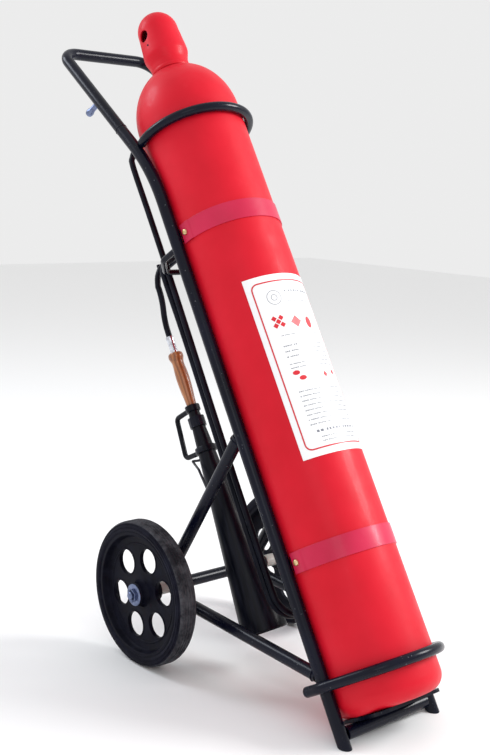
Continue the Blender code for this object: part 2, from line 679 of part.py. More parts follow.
def hose_route():
    """Coupling, over the right shoulder, two loops hung behind the cylinder, then down to the ferrule."""
    low, high = LOOP_LOW_Z + HOSE_ARC_R, ARCH_TOP_Z - HOSE_ARC_R
    left, right = LOOP_LEFT_X, LOOP_RIGHT_X
    route = [Vector((0.0429, 0.136, 1.310)), Vector((0.022, 0.137, 1.310)), Vector((0.000, 0.139, 1.3095))]
    bend = [(20, 0.140), (45, 0.1425), (68, 0.1455), (90, 0.148)]
    for turn, y in bend:
        a = math.radians(turn)
        route.append(Vector((left + HOSE_ARC_R * (1 - math.sin(a)), y, 1.2515 + HOSE_ARC_R * math.cos(a))))
    under_one = half_loop(left, right, low, 0.1490, 0.1560)
    over_one = half_loop(right, left, high, 0.1560, 0.1640)
    under_two = half_loop(left, right, low, 0.1640, 0.1720)
    over_two = half_loop(right + 0.018, left + 0.018, high + 0.003, 0.1780, 0.2150)
    for previous, stretch, steps in ((None, under_one, 9), (under_one, over_one, 7), (over_one, under_two, 7)):
        start = previous[-1] if previous else route[-1]
        route += hanging_run(start, stretch[0], steps) + stretch
    route += hanging_run(under_two[-1], over_two[0], 7) + over_two
    route += eased_drop(over_two[-1], Vector((HORN_X, HORN_Y, 0.9005)), 4)
    route += [Vector((HORN_X, HORN_Y, FERRULE_TOP + GAP))]
    return route


def hose(root):
    data = bpy.data.curves.new("hose", "CURVE")
    data.dimensions = "3D"
    data.bevel_depth = HOSE_R
    data.bevel_resolution = 2
    data.use_fill_caps = True
    points = hose_route()
    spline = data.splines.new("POLY")
    spline.points.add(len(points) - 1)
    for slot, point in zip(spline.points, points):
        slot.co = (*point, 1.0)
    place(bpy.data.objects.new("hose", data), root, "rubber")


def horn_radius(z):
    share = (0.716 - z) / (0.716 - HORN_MOUTH_Z)
    return HORN_NECK_R + (HORN_MOUTH_R - HORN_NECK_R) * max(share, 0.0)


def horn_parts(root):
    spot = Matrix.Translation((HORN_X, HORN_Y, 0))
    ferrule = [(0, GRIP_TOP + GAP), (0.0088, GRIP_TOP + GAP), (0.0088, 0.862), (0.0082, 0.884)]
    ferrule += [(0.0090, FERRULE_TOP), (0, FERRULE_TOP)]
    node("hose_ferrule", turned(ferrule, 16, spot), root, "zinc")
    grip = [(0, GRIP_END), (0.0108, GRIP_END), (0.0118, 0.748), (0.0140, 0.776), (0.0145, 0.796)]
    grip += [(0.0128, 0.820), (0.0130, 0.830), (0.0162, 0.8395), (0.0158, 0.8475), (0.0120, GRIP_TOP)]
    node("wooden_grip", turned(grip + [(0, GRIP_TOP)], 18, spot), root, "wood")
    top = GRIP_END - GAP
    outer = [(0, top), (0.0112, top), (HORN_NECK_R, 0.716)]
    outer += [(horn_radius(z), z) for z in (0.600, 0.450, 0.320, HORN_MOUTH_Z)]
    inner = [(horn_radius(z) - HORN_WALL, z) for z in (HORN_MOUTH_Z, 0.320, 0.450, 0.600)] + [(0, 0.680)]
    node("discharge_horn", turned(outer + inner, 24, spot), root, "horn_plastic")


def horn_handle(root):
    """A bar handle behind the horn, held by a band round the neck and a band lower down."""
    bends = [(HORN_X, HORN_Y + 0.0142, 0.7225), (HORN_X, 0.309, 0.7225), (HORN_X, 0.320, 0.6345)]
    bends += [(HORN_X, HORN_Y + 0.0225, 0.6295)]
    handle = node("horn_handle", swept(filleted(bends, 0.010, 3), 0.0055, 0.0, 10), root, "horn_plastic")
    for name, low, high, thick in (("upper", 0.7155, 0.7290, 0.004), ("lower", 0.6230, 0.6360, 0.0045)):
        inner = [(horn_radius(z) + GAP, z) for z in (low, high)]
        outer = [(horn_radius(z) + thick, z) for z in (high, low)]
        band = turned(inner + outer, 20, Matrix.Translation((HORN_X, HORN_Y, 0)))
        combine(handle, cutter(f"horn_band_{name}", band, root), "UNION")


def horn_holder(root):
    """A post off the axle tube with a sprung clip at the horn's neck, and a rest under the horn's handle."""
    foot = (0.050, AXLE_Y - 0.004, AXLE_Z + TUBE_R + 0.0062)
    bends = [foot, (0.050, 0.335, 0.480), (0.050, 0.335, 0.712)]
    node("horn_post", swept(filleted(bends, 0.030, 3), 0.006, 0.0, 10), root, "black_paint")
    clip_r = horn_radius(0.680) + 0.0012
    towards_post = Vector((0.050 - HORN_X, 0.335 - HORN_Y, 0)).normalized()
    heading = math.degrees(math.atan2(towards_post.y, towards_post.x))
    open_start, open_end = 70, 115
    sweep = [math.radians(open_end + (360 - open_end + open_start) * i / 14) for i in range(15)]
    inner = [(HORN_X + clip_r * math.cos(a), HORN_Y + clip_r * math.sin(a)) for a in sweep]
    outer = [(HORN_X + (clip_r + 0.0022) * math.cos(a), HORN_Y + (clip_r + 0.0022) * math.sin(a)) for a in sweep]
    clip = node("horn_clip", prism(inner + outer[::-1], 0.680, 0.702), root, "black_paint")
    across = Matrix.Translation((HORN_X, HORN_Y, 0)) @ Matrix.Rotation(math.radians(heading), 4, "Z")
    reach = math.hypot(0.050 - HORN_X, 0.335 - HORN_Y) - 0.006 - GAP
    bar = [(clip_r + 0.001, -0.002), (reach, -0.002), (reach, 0.002), (clip_r + 0.001, 0.002)]
    combine(clip, cutter("clip_arm", prism(bar, 0.683, 0.699, across), root), "UNION")


def horn_rest(root, strut_clearance):
    bends = [(-0.118, 0.170, 0.516), (-0.070, 0.240, 0.588), (-0.038, 0.292, 0.6200), (-0.012, 0.296, 0.6200)]
    bends += [(-0.006, 0.297, 0.640)]
    rest = node("horn_rest", swept(filleted(bends, 0.008, 2), 0.0028, 0.0, 8), root, "black_paint")
    cut(rest, strut_clearance)


def strut_cutter(root):
    return cutter("strut_clearance", swept(strut_path(-1), TUBE_R + GAP), root)


# ---------------------------------------------------------------- assembly


def main():
    clear_scene()
    trolley = place(bpy.data.objects.new("trolley", None), None, None)
    lean = Matrix.Rotation(-LEAN, 4, "X")
    trolley.matrix_world = Matrix.Translation((0, BACK_SHIFT, 0)) @ lean @ Matrix.Translation((0, -FOOT_EDGE_Y, 0))
    cap_pivot = place(bpy.data.objects.new("cap_pivot", None), trolley, None)
    valve_pivot = place(bpy.data.objects.new("handwheel_pivot", None), trolley, None)
    cylinder_shell(trolley)
    neck_collar(trolley)
    valve_body(trolley)
    valve_fittings(trolley)
    handwheel(valve_pivot)
    valve_cap(cap_pivot)
    rail_cutters = [rail_cutter(side, trolley) for side in SIDES]
    rails(trolley)
    grip_bar(trolley)
    hoops(trolley, rail_cutters)
    struts(trolley, rail_cutters)
    cross_tubes(trolley)
    straps(trolley, rail_cutters)
    axle(trolley)
    for side in SIDES:
        wheel(side, trolley)
    hose_brace(trolley, rail_cutters)
    parking_peg(trolley, rail_cutters)
    handle_hook(trolley, rail_cutters)
    hose(trolley)
    horn_parts(trolley)
    horn_handle(trolley)
    horn_holder(trolley)
    horn_rest(trolley, strut_cutter(trolley))


main()
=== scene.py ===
"""Looks for the wheeled gas-cylinder extinguisher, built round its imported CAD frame.

Pieces are drawn upright, cylinder axis on +Z, then leaned by TROLLEY, the same lean the CAD parts have.
"""

import math

import bmesh
import bpy
from mathutils import Euler, Matrix, Quaternion, Vector


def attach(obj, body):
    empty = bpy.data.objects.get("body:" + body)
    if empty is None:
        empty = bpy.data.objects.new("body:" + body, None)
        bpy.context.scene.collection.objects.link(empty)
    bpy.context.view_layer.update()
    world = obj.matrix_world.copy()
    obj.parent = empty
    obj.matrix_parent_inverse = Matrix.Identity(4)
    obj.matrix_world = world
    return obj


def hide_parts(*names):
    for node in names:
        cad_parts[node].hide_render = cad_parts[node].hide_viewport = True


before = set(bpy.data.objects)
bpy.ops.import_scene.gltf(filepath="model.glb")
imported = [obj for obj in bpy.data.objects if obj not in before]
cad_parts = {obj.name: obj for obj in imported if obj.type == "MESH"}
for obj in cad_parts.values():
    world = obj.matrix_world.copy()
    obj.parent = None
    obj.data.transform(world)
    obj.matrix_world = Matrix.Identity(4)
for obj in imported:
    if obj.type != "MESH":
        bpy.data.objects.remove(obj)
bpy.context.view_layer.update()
SIDES = (-1, 1)
GAP = 0.0003

SHELL_R = 0.1095
SHELL_BOTTOM = 0.034
BASE_CORNER_R = 0.033
SHOULDER_Z = 1.272
DOME_RISE = 0.1278
COLLAR_TOP = 1.4015
SPIGOT_R = 0.0365
CAP_BOTTOM = COLLAR_TOP + GAP
CAP_DOME_Z = 1.495
CAP_DOME_R = 0.0438
VENT_Z = 1.481
VENT_R = 0.013
TUBE_R = 0.0125
TUBE_BORE_R = 0.0105
RAIL_X = 0.1205
RAIL_Y = 0.022
KNEE_Z = 1.169
KNEE_BEND_R = 0.38
GRIP_Y = 0.188
GRIP_Z = 1.562
GRIP_BEND_R = 0.040
GRIP_SPLIT = 0.291
BASE_HOOP_Z = 0.1035
SHOULDER_HOOP_Z = 1.235
BASE_HOOP_TUBE_R = 0.0100
BASE_HOOP_LEAVES = math.radians(60.0)
BASE_HOOP_END_Y = 0.046
SHOULDER_HOOP_TUBE_R = 0.0095
HOOP_LIFT = 0.0006
STRUT_TOP_Z = 0.588
STRUT_FOOT_Z = 0.1245
STRUT_BEND_R = 0.045
AXLE_Y = 0.375
AXLE_Z = 0.386
AXLE_R = 0.008
AXLE_HALF = 0.2332
WHEEL_R = 0.150
HOLE_COUNT = 6
HOLE_RING_R = 0.0742
HOLE_R = 0.0255
HOLE_PHASE = math.radians(45.9)
STRAP_BOTTOMS = {"upper": 0.9906, "lower": 0.3075}
STRAP_HEIGHT = 0.040
STRAP_THICK = 0.0020
STRAP_END = math.radians(93.5)
LUG_START = math.radians(81.0)
LUG_THICK = 0.0014
BOLT_ANGLE = math.radians(87.5)
HOSE_R = 0.0065
HOSE_ARC_R = 0.054
LOOP_LEFT_X = -0.060
LOOP_RIGHT_X = LOOP_LEFT_X + 2 * HOSE_ARC_R
ARCH_TOP_Z = 1.048
LOOP_LOW_Z = 0.245
HORN_X = -0.030
HORN_Y = 0.246
FERRULE_TOP = 0.889
GRIP_TOP = 0.8515
GRIP_END = 0.7295
HORN_MOUTH_Z = 0.234
HORN_MOUTH_R = 0.0485
HORN_NECK_R = 0.012
HORN_WALL = 0.0025
HORN_NECK_Z = 0.716
LABEL_TOP = 0.8645
LABEL_BOTTOM = 0.4965
FILM_LIFT = 0.00035
INK_LIFT = 0.00060
MARK_LIFT = 0.00062
FOOT_EDGE_Y = RAIL_Y + TUBE_R
AXLE_REACH = math.hypot(AXLE_Y - FOOT_EDGE_Y, AXLE_Z)
LEAN = math.atan2(AXLE_Z, AXLE_Y - FOOT_EDGE_Y) - math.asin(WHEEL_R / AXLE_REACH)
BACK_SHIFT = -0.4351
TROLLEY = (
    Matrix.Translation((0, BACK_SHIFT, 0))
    @ Matrix.Rotation(-LEAN, 4, "X")
    @ Matrix.Translation((0, -FOOT_EDGE_Y, 0))
)


# ---------------------------------------------------------------- camera and light


def camera():
    """Low at the front left, rolled a little, placed in the upright trolley's own axes."""
    turn = Euler([math.radians(a) for a in (104.642, 18.142, -37.523)])
    place = Matrix.Translation((-1.5047, -1.5704, 0.172)) @ turn.to_matrix().to_4x4()
    data = bpy.data.cameras.new("camera")
    data.lens = 53.76
    data.sensor_width = 36
    data.clip_start = 0.05
    made = bpy.data.objects.new("camera", data)
    bpy.context.scene.collection.objects.link(made)
    made.matrix_world = TROLLEY @ place
    bpy.context.scene.camera = made


def area_light(name, spot, aim, size, power, colour=(1, 1, 1)):
    """A round light standing at one spot and aimed at another."""
    data = bpy.data.lights.new(name, "AREA")
    data.shape = "DISK"
    data.size = size
    data.energy = power
    data.color = colour
    made = bpy.data.objects.new(name, data)
    bpy.context.scene.collection.objects.link(made)
    made.location = spot
    made.rotation_euler = (Vector(aim) - Vector(spot)).to_track_quat("-Z", "Y").to_euler()


def studio():
    """The world, three lights and a pale floor."""
    world = bpy.data.worlds.new("studio")
    world.use_nodes = True
    world.node_tree.nodes["Background"].inputs["Color"].default_value = (1, 1, 1, 1)
    world.node_tree.nodes["Background"].inputs["Strength"].default_value = 0.84
    bpy.context.scene.world = world
    bpy.context.scene.view_settings.view_transform = "Standard"
    area_light("key", (2.4, -1.9, 2.4), (0, 0, 0.7), 1.5, 105)
    area_light("fill", (-2.2, -2.2, 2.4), (0, 0.1, 0.6), 1.6, 8, (0.90, 0.94, 1.0))
    area_light("back", (-1.6, 2.4, 2.6), (0, 0.2, 0.6), 1.4, 38, (0.84, 0.90, 1.0))
    bm = bmesh.new()
    bmesh.ops.create_grid(bm, x_segments=1, y_segments=1, size=9)
    mesh = bpy.data.meshes.new("floor")
    bm.to_mesh(mesh)
    floor = bpy.data.objects.new("floor", mesh)
    bpy.context.scene.collection.objects.link(floor)
    pale, _, _, shader = blank("floor_pale")
    shader.inputs["Base Color"].default_value = (0.90, 0.90, 0.90, 1)
    shader.inputs["Roughness"].default_value = 0.85
    mesh.materials.append(pale)


# ---------------------------------------------------------------- materials


def blank(name):
    """A new node material, its nodes, its links and its shader."""
    made = bpy.data.materials.new(name)
    made.use_nodes = True
    tree = made.node_tree
    return made, tree.nodes, tree.links, tree.nodes["Principled BSDF"]


def coordinates(nodes, links, stretch=(1, 1, 1)):
    """Upright trolley coordinates in metres, stretched along chosen axes."""
    source = nodes.new("ShaderNodeTexCoord")
    lean = nodes.new("ShaderNodeMapping")
    lean.inputs["Rotation"].default_value = (LEAN, 0, 0)
    links.new(source.outputs["Object"], lean.inputs["Vector"])
    scale = nodes.new("ShaderNodeMapping")
    scale.inputs["Scale"].default_value = stretch
    links.new(lean.outputs["Vector"], scale.inputs["Vector"])
    return scale.outputs["Vector"]


def noise(nodes, links, vector, scale, detail=4.0, roughness=0.55):
    """The value of a noise texture."""
    made = nodes.new("ShaderNodeTexNoise")
    made.inputs["Scale"].default_value = scale
    made.inputs["Detail"].default_value = detail
    made.inputs["Roughness"].default_value = roughness
    links.new(vector, made.inputs["Vector"])
    return made.outputs["Fac"]


def spread(nodes, links, value, low, high, out_low, out_high):
    """One range of values stretched onto another."""
    made = nodes.new("ShaderNodeMapRange")
    made.inputs["From Min"].default_value = low
    made.inputs["From Max"].default_value = high
    made.inputs["To Min"].default_value = out_low
    made.inputs["To Max"].default_value = out_high
    links.new(value, made.inputs["Value"])
    return made.outputs["Result"]


def blend(nodes, links, factor, first, second):
    """Mixes two colours, each a tuple or a socket."""
    made = nodes.new("ShaderNodeMix")
    made.data_type = "RGBA"
    links.new(factor, made.inputs["Factor"])
    for socket, colour in ((made.inputs[6], first), (made.inputs[7], second)):
        if isinstance(colour, tuple):
            socket.default_value = (*colour, 1)
        else:
            links.new(colour, socket)
    return made.outputs[2]


def bump(nodes, links, shader, *layers):
    """Stacks (height, depth in metres) layers on the shader's normal."""
    normal = None
    for height, depth in layers:
        made = nodes.new("ShaderNodeBump")
        made.inputs["Strength"].default_value = 1.0
        made.inputs["Distance"].default_value = depth
        links.new(height, made.inputs["Height"])
        if normal:
            links.new(normal, made.inputs["Normal"])
        normal = made.outputs["Normal"]
    links.new(normal, shader.inputs["Normal"])


def enamel(name, deep, bright, marks, rough, coat, gleam, chips=0.0):
    """Sprayed enamel: slow colour drift, orange peel, dust in soft patches and a few small chips."""
    made, nodes, links, shader = blank(name)
    vector = coordinates(nodes, links)
    drift = spread(nodes, links, noise(nodes, links, vector, 7.0, 3.0), 0.35, 0.65, 0, 1)
    colour = blend(nodes, links, drift, deep, bright)
    smudge = spread(nodes, links, noise(nodes, links, vector, 26.0, 8.0, 0.68), 0.64, 0.84, 0, 0.22)
    colour = blend(nodes, links, smudge, colour, marks)
    if chips:
        fleck = spread(nodes, links, noise(nodes, links, vector, 210.0, 3.0), 0.70, 0.73, 0, chips)
        colour = blend(nodes, links, fleck, colour, (0.20, 0.21, 0.23))
    links.new(colour, shader.inputs["Base Color"])
    ripple = noise(nodes, links, vector, 34.0, 6.0)
    shine = spread(nodes, links, ripple, 0.3, 0.7, rough - 0.06, rough + 0.09)
    links.new(shine, shader.inputs["Roughness"])
    shader.inputs["Coat Weight"].default_value = coat
    shader.inputs["Coat Roughness"].default_value = 0.12
    shader.inputs["Specular IOR Level"].default_value = gleam
    peel = noise(nodes, links, vector, 420.0, 2.0)
    waves = noise(nodes, links, vector, 18.0, 2.0)
    bump(nodes, links, shader, (waves, 0.0009), (peel, 0.00010))
    return made


def metal(name, colour, tarnish, rough, scale=90.0):
    """Plated or turned metal, with tarnish in patches and fine uneven polish."""
    made, nodes, links, shader = blank(name)
    vector = coordinates(nodes, links)
    patch = spread(nodes, links, noise(nodes, links, vector, scale, 6.0, 0.65), 0.42, 0.72, 0, 0.75)
    links.new(blend(nodes, links, patch, colour, tarnish), shader.inputs["Base Color"])
    fine = noise(nodes, links, vector, scale * 9, 4.0)
    links.new(spread(nodes, links, fine, 0.3, 0.7, rough - 0.08, rough + 0.12), shader.inputs["Roughness"])
    shader.inputs["Metallic"].default_value = 1.0
    bump(nodes, links, shader, (fine, 0.00004))
    return made


def rubber(name, base, dust, amount, rough, scale=30.0, gleam=0.3):
    """Rubber or moulded plastic with dust lying in soft patches."""
    made, nodes, links, shader = blank(name)
    vector = coordinates(nodes, links)
    patch = noise(nodes, links, vector, scale, 9.0, 0.70)
    dusty = spread(nodes, links, patch, 0.42, 0.68, 0, amount)
    links.new(blend(nodes, links, dusty, base, dust), shader.inputs["Base Color"])
    shine = spread(nodes, links, patch, 0.35, 0.7, rough - 0.10, rough + 0.10)
    links.new(shine, shader.inputs["Roughness"])
    shader.inputs["Specular IOR Level"].default_value = gleam
    grain = noise(nodes, links, vector, 1100.0, 3.0)
    bump(nodes, links, shader, (patch, 0.0004), (grain, 0.00008))
    return made


def streaked(name, base, streak, amount, rough):
    """Moulded plastic with long soft streaks that run down the horn."""
    made, nodes, links, shader = blank(name)
    vector = coordinates(nodes, links, (1, 1, 0.05))
    lines = noise(nodes, links, vector, 160.0, 5.0, 0.6)
    faint = spread(nodes, links, lines, 0.45, 0.75, 0, amount)
    shader.inputs["Specular IOR Level"].default_value = 0.16
    links.new(blend(nodes, links, faint, base, streak), shader.inputs["Base Color"])
    links.new(spread(nodes, links, lines, 0.3, 0.7, rough - 0.07, rough + 0.12), shader.inputs["Roughness"])
    bump(nodes, links, shader, (lines, 0.00018))
    return made


def varnished_wood():
    """Turned wood: growth lines along the grip, fine pores and a worn varnish."""
    made, nodes, links, shader = blank("varnished_wood")
    vector = coordinates(nodes, links, (1, 1, 0.07))
    rings = nodes.new("ShaderNodeTexWave")
    rings.wave_type = "BANDS"
    rings.bands_direction = "X"
    for key, value in (("Scale", 55.0), ("Distortion", 6.0), ("Detail", 4.0), ("Detail Scale", 1.6)):
        rings.inputs[key].default_value = value
    links.new(vector, rings.inputs["Vector"])
    colour = blend(nodes, links, rings.outputs["Fac"], (0.23, 0.070, 0.018), (0.45, 0.165, 0.050))
    pores = noise(nodes, links, vector, 900.0, 4.0, 0.7)
    dark = spread(nodes, links, pores, 0.56, 0.70, 0, 0.75)
    colour = blend(nodes, links, dark, colour, (0.13, 0.040, 0.012))
    dirt = noise(nodes, links, coordinates(nodes, links), 45.0, 5.0)
    handled = spread(nodes, links, dirt, 0.5, 0.75, 0, 0.45)
    links.new(blend(nodes, links, handled, colour, (0.20, 0.070, 0.022)), shader.inputs["Base Color"])
    links.new(spread(nodes, links, pores, 0.3, 0.7, 0.28, 0.48), shader.inputs["Roughness"])
    shader.inputs["Coat Weight"].default_value = 0.45
    shader.inputs["Coat Roughness"].default_value = 0.16
    bump(nodes, links, shader, (rings.outputs["Fac"], 0.00016), (pores, 0.00010))
    return made


def printed(name, colour, faded, rough):
    """Printed film, a little uneven and scuffed."""
    made, nodes, links, shader = blank(name)
    vector = coordinates(nodes, links)
    worn = spread(nodes, links, noise(nodes, links, vector, 60.0, 7.0, 0.7), 0.52, 0.75, 0, 0.45)
    links.new(blend(nodes, links, worn, colour, faded), shader.inputs["Base Color"])
    ripple = noise(nodes, links, vector, 35.0, 3.0)
    shine = spread(nodes, links, ripple, 0.3, 0.7, rough - 0.05, rough + 0.08)
    links.new(shine, shader.inputs["Roughness"])
    bump(nodes, links, shader, (ripple, 0.0003))
    return made


LOOK = {
    "red": enamel(
        "red_enamel", (0.60, 0.0035, 0.016), (0.68, 0.0055, 0.022), (0.74, 0.05, 0.07), 0.47, 0.05, 0.20,
    ),
    "strap": enamel(
        "strap_enamel", (0.50, 0.008, 0.048), (0.62, 0.016, 0.072), (0.68, 0.06, 0.12), 0.36, 0.15, 0.26,
    ),
    "black": enamel(
        "black_enamel", (0.001, 0.0015, 0.007), (0.003, 0.004, 0.014), (0.025, 0.030, 0.055),
        0.26, 0.16, 0.13, 0.6,
    ),
    "tread": rubber("tyre_tread", (0.009, 0.009, 0.014), (0.12, 0.12, 0.135), 0.75, 0.80, 26.0),
    "tyre": rubber("tyre_rubber", (0.002, 0.002, 0.007), (0.024, 0.025, 0.042), 0.5, 0.56, 30.0, 0.07),
    "hose": rubber("hose_rubber", (0.001, 0.0015, 0.006), (0.015, 0.017, 0.032), 0.5, 0.42, 22.0, 0.13),
    "disc": rubber("wheel_casting", (0.001, 0.001, 0.005), (0.014, 0.015, 0.028), 0.5, 0.46, 40.0, 0.07),
    "zinc": metal("zinc_plate", (0.20, 0.24, 0.38), (0.06, 0.075, 0.13), 0.34),
    "silver": metal("crimped_steel", (0.72, 0.74, 0.80), (0.36, 0.37, 0.40), 0.24, 130.0),
    "brass": metal("turned_brass", (0.80, 0.62, 0.34), (0.36, 0.22, 0.09), 0.30),
    "copper": metal("copper_tube", (0.72, 0.36, 0.22), (0.34, 0.15, 0.09), 0.34),
    "nylon": rubber("nylon_bush", (0.62, 0.61, 0.57), (0.30, 0.29, 0.26), 0.5, 0.50, 60.0),
    "horn": streaked("horn_plastic", (0.001, 0.0015, 0.005), (0.014, 0.016, 0.030), 0.6, 0.34),
    "wood": varnished_wood(),
    "white": printed("label_film", (0.93, 0.93, 0.94), (0.84, 0.84, 0.84), 0.34),
    "ink_red": printed("label_red_ink", (0.66, 0.012, 0.025), (0.74, 0.16, 0.16), 0.38),
    "ink_grey": printed("label_grey_ink", (0.20, 0.21, 0.25), (0.48, 0.48, 0.50), 0.42),
}


# ---------------------------------------------------------------- shapes


def piece(name, bm, body, slot, look, *nodes, angle=38):
    """A finished piece, modelled upright and leaned with the trolley, standing for CAD nodes."""
    bmesh.ops.remove_doubles(bm, verts=bm.verts, dist=1e-7)
    bmesh.ops.recalc_face_normals(bm, faces=bm.faces)
    bmesh.ops.transform(bm, matrix=TROLLEY, verts=bm.verts)
    mesh = bpy.data.meshes.new(name)
    bm.to_mesh(mesh)
    bm.free()
    mesh.shade_smooth()
    mesh.set_sharp_from_angle(angle=math.radians(angle))
    made = bpy.data.objects.new(name, mesh)
    bpy.context.scene.collection.objects.link(made)
    mesh.materials.append(LOOK[look])
    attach(made, body)
    if nodes:
        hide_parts(*nodes)
    return made


def steel(name, bm, *nodes):
    """A black enamelled piece of the trolley."""
    return piece(name, bm, "trolley", "black_paint", "black", *nodes)


def carve(obj, bm, soften=0.0):
    """Cuts a shape out of a piece, keeps the result as its mesh, and rounds the new edges."""
    bmesh.ops.recalc_face_normals(bm, faces=bm.faces)
    bmesh.ops.transform(bm, matrix=TROLLEY, verts=bm.verts)
    mesh = bpy.data.meshes.new("cutter")
    bm.to_mesh(mesh)
    bm.free()
    other = bpy.data.objects.new("cutter", mesh)
    bpy.context.scene.collection.objects.link(other)
    step = obj.modifiers.new("carve", "BOOLEAN")
    step.operation = "DIFFERENCE"
    step.solver = "EXACT"
    step.object = other
    if soften:
        edge = obj.modifiers.new("soften", "BEVEL")
        edge.width = soften
        edge.segments = 3
        edge.limit_method = "ANGLE"
        edge.angle_limit = math.radians(50)
    graph = bpy.context.evaluated_depsgraph_get()
    graph.update()
    result = bpy.data.meshes.new_from_object(obj.evaluated_get(graph))
    obj.modifiers.clear()
    obj.data = result
    result.shade_smooth()
    result.set_sharp_from_angle(angle=math.radians(38))
    bpy.data.objects.remove(other, do_unlink=True)


def turned(profile, steps=64, matrix=None, bm=None):
    """A closed (radius, height) outline turned about +Z, then moved by the matrix."""
    bm = bm or bmesh.new()
    matrix = matrix or Matrix.Identity(4)
    rings = []
    for radius, height in profile:
        count = 1 if radius < 1e-9 else steps
        turns = [math.tau * k / steps for k in range(count)]
        spots = [Vector((radius * math.cos(a), radius * math.sin(a), height)) for a in turns]
        rings.append([bm.verts.new(matrix @ spot) for spot in spots])
    for first, second in zip(rings, rings[1:] + rings[:1]):
        if len(first) == len(second) == 1:
            continue
        for k in range(steps):
            corners = [first[k % len(first)], first[(k + 1) % len(first)]]
            corners += [second[(k + 1) % len(second)], second[k % len(second)]]
            unique = list(dict.fromkeys(corners))
            if len(unique) > 2:
                bm.faces.new(unique)
    return bm


def arc(centre, radius, start, end, steps):
    """Points along an arc of an outline, from one angle to another in degrees."""
    angles = [math.radians(start + (end - start) * i / steps) for i in range(steps + 1)]
    return [(centre[0] + radius * math.cos(a), centre[1] + radius * math.sin(a)) for a in angles]


def curved(points, steps=5):
    """A smooth line through 2-D or 3-D points."""
    points = [Vector(p) for p in points]
    ends = [points[0] * 2 - points[1]] + points + [points[-1] * 2 - points[-2]]
    line = []
    for a, b, c, d in zip(ends, ends[1:], ends[2:], ends[3:]):
        for i in range(steps):
            t = i / steps
            point = 2 * b + (c - a) * t + (2 * a - 5 * b + 4 * c - d) * t**2
            line.append(0.5 * (point + (3 * b - a - 3 * c + d) * t**3))
    return line + [points[-1]]


def filleted(points, radius, steps=14):
    """A path through the points, with each inner corner rounded to the radius."""
    points = [Vector(point) for point in points]
    path = [points[0]]
    for before, corner, after in zip(points, points[1:], points[2:]):
        to_before = (before - corner).normalized()
        to_after = (after - corner).normalized()
        half = to_before.angle(to_after) / 2
        centre = corner + (to_before + to_after).normalized() * (radius / math.sin(half))
        start = corner + to_before * (radius / math.tan(half)) - centre
        end = corner + to_after * (radius / math.tan(half)) - centre
        turn = start.rotation_difference(end)
        path += [centre + Quaternion().slerp(turn, i / steps) @ start for i in range(steps + 1)]
    return path + [points[-1]]


def swept(path, radius, bore=0.0, sides=28, bm=None):
    """A round bar with softened ends, or a tube with open ends where a bore is given, along the path."""
    bm = bm or bmesh.new()
    path = [Vector(point) for point in path]
    heading = (path[1] - path[0]).normalized()
    across = heading.orthogonal().normalized()
    rings = []
    for index, point in enumerate(path):
        turned_to = (path[min(index + 1, len(path) - 1)] - path[max(index - 1, 0)]).normalized()
        across = heading.rotation_difference(turned_to) @ across
        heading = turned_to
        up = heading.cross(across)
        sizes = (radius, bore) if bore else (radius,)
        angles = [math.tau * k / sides for k in range(sides)]
        spokes = [math.cos(a) * across + math.sin(a) * up for a in angles]
        rings.append([[bm.verts.new(point + size * spoke) for spoke in spokes] for size in sizes])
    for first, second in zip(rings, rings[1:]):
        for wall in range(len(first)):
            for k in range(sides):
                bm.faces.new((first[wall][k], first[wall][k - 1], second[wall][k - 1], second[wall][k]))
    for end in (0, -1):
        if bore:
            outer, inner = rings[end]
            for k in range(sides):
                bm.faces.new((outer[k], outer[k - 1], inner[k - 1], inner[k]))
        else:
            bm.faces.new(rings[end][0])
    return bm


def prism(outline, low, high, matrix=None, bm=None):
    """A flat outline raised between two heights."""
    bm = bm or bmesh.new()
    matrix = matrix or Matrix.Identity(4)
    floors = [[bm.verts.new(matrix @ Vector((x, y, z))) for x, y in outline] for z in (low, high)]
    for floor in floors:
        bm.faces.new(floor)
    for k in range(len(outline)):
        bm.faces.new((floors[0][k], floors[0][k - 1], floors[1][k - 1], floors[1][k]))
    return bm


def softened(obj, width, segments=3):
    """Rounds the sharp edges of a piece."""
    step = obj.modifiers.new("soften", "BEVEL")
    step.width = width
    step.segments = segments
    step.limit_method = "ANGLE"
    step.angle_limit = math.radians(40)
    return obj


def along_x(x, y, z):
    """A matrix standing a turned shape along X at a point."""
    return Matrix.Translation((x, y, z)) @ Matrix.Rotation(math.pi / 2, 4, "Y")


def along_y(x, y, z):
    """A matrix standing a turned shape along Y at a point."""
    return Matrix.Translation((x, y, z)) @ Matrix.Rotation(-math.pi / 2, 4, "X")


def around(angle, radius):
    """The point at an angle around the cylinder, measured from its front."""
    return radius * math.sin(angle), -radius * math.cos(angle)


def side_name(side):
    """The word for a side in the names of pieces."""
    return "left" if side < 0 else "right"


def bead(spot, axis, radius, thick=0.0022, seed=0.0, bm=None):
    """A weld bead: a lumpy ring round a tube."""
    bm = bm or bmesh.new()
    turn = Vector((0, 0, 1)).rotation_difference(Vector(axis).normalized()).to_matrix().to_4x4()
    place = Matrix.Translation(spot) @ turn
    rings = []
    for k in range(56):
        a = math.tau * k / 56
        size = thick * (1 + 0.16 * math.sin(9 * a + seed) + 0.10 * math.sin(23 * a + seed * 2))
        ring = []
        for j in range(8):
            b = math.tau * j / 8
            reach = radius + size * math.cos(b)
            spot_here = Vector((reach * math.cos(a), reach * math.sin(a), size * math.sin(b)))
            ring.append(bm.verts.new(place @ spot_here))
        rings.append(ring)
    for first, second in zip(rings, rings[1:] + rings[:1]):
        for j in range(8):
            bm.faces.new((first[j], first[j - 1], second[j - 1], second[j]))
    return bm


# ---------------------------------------------------------------- hose


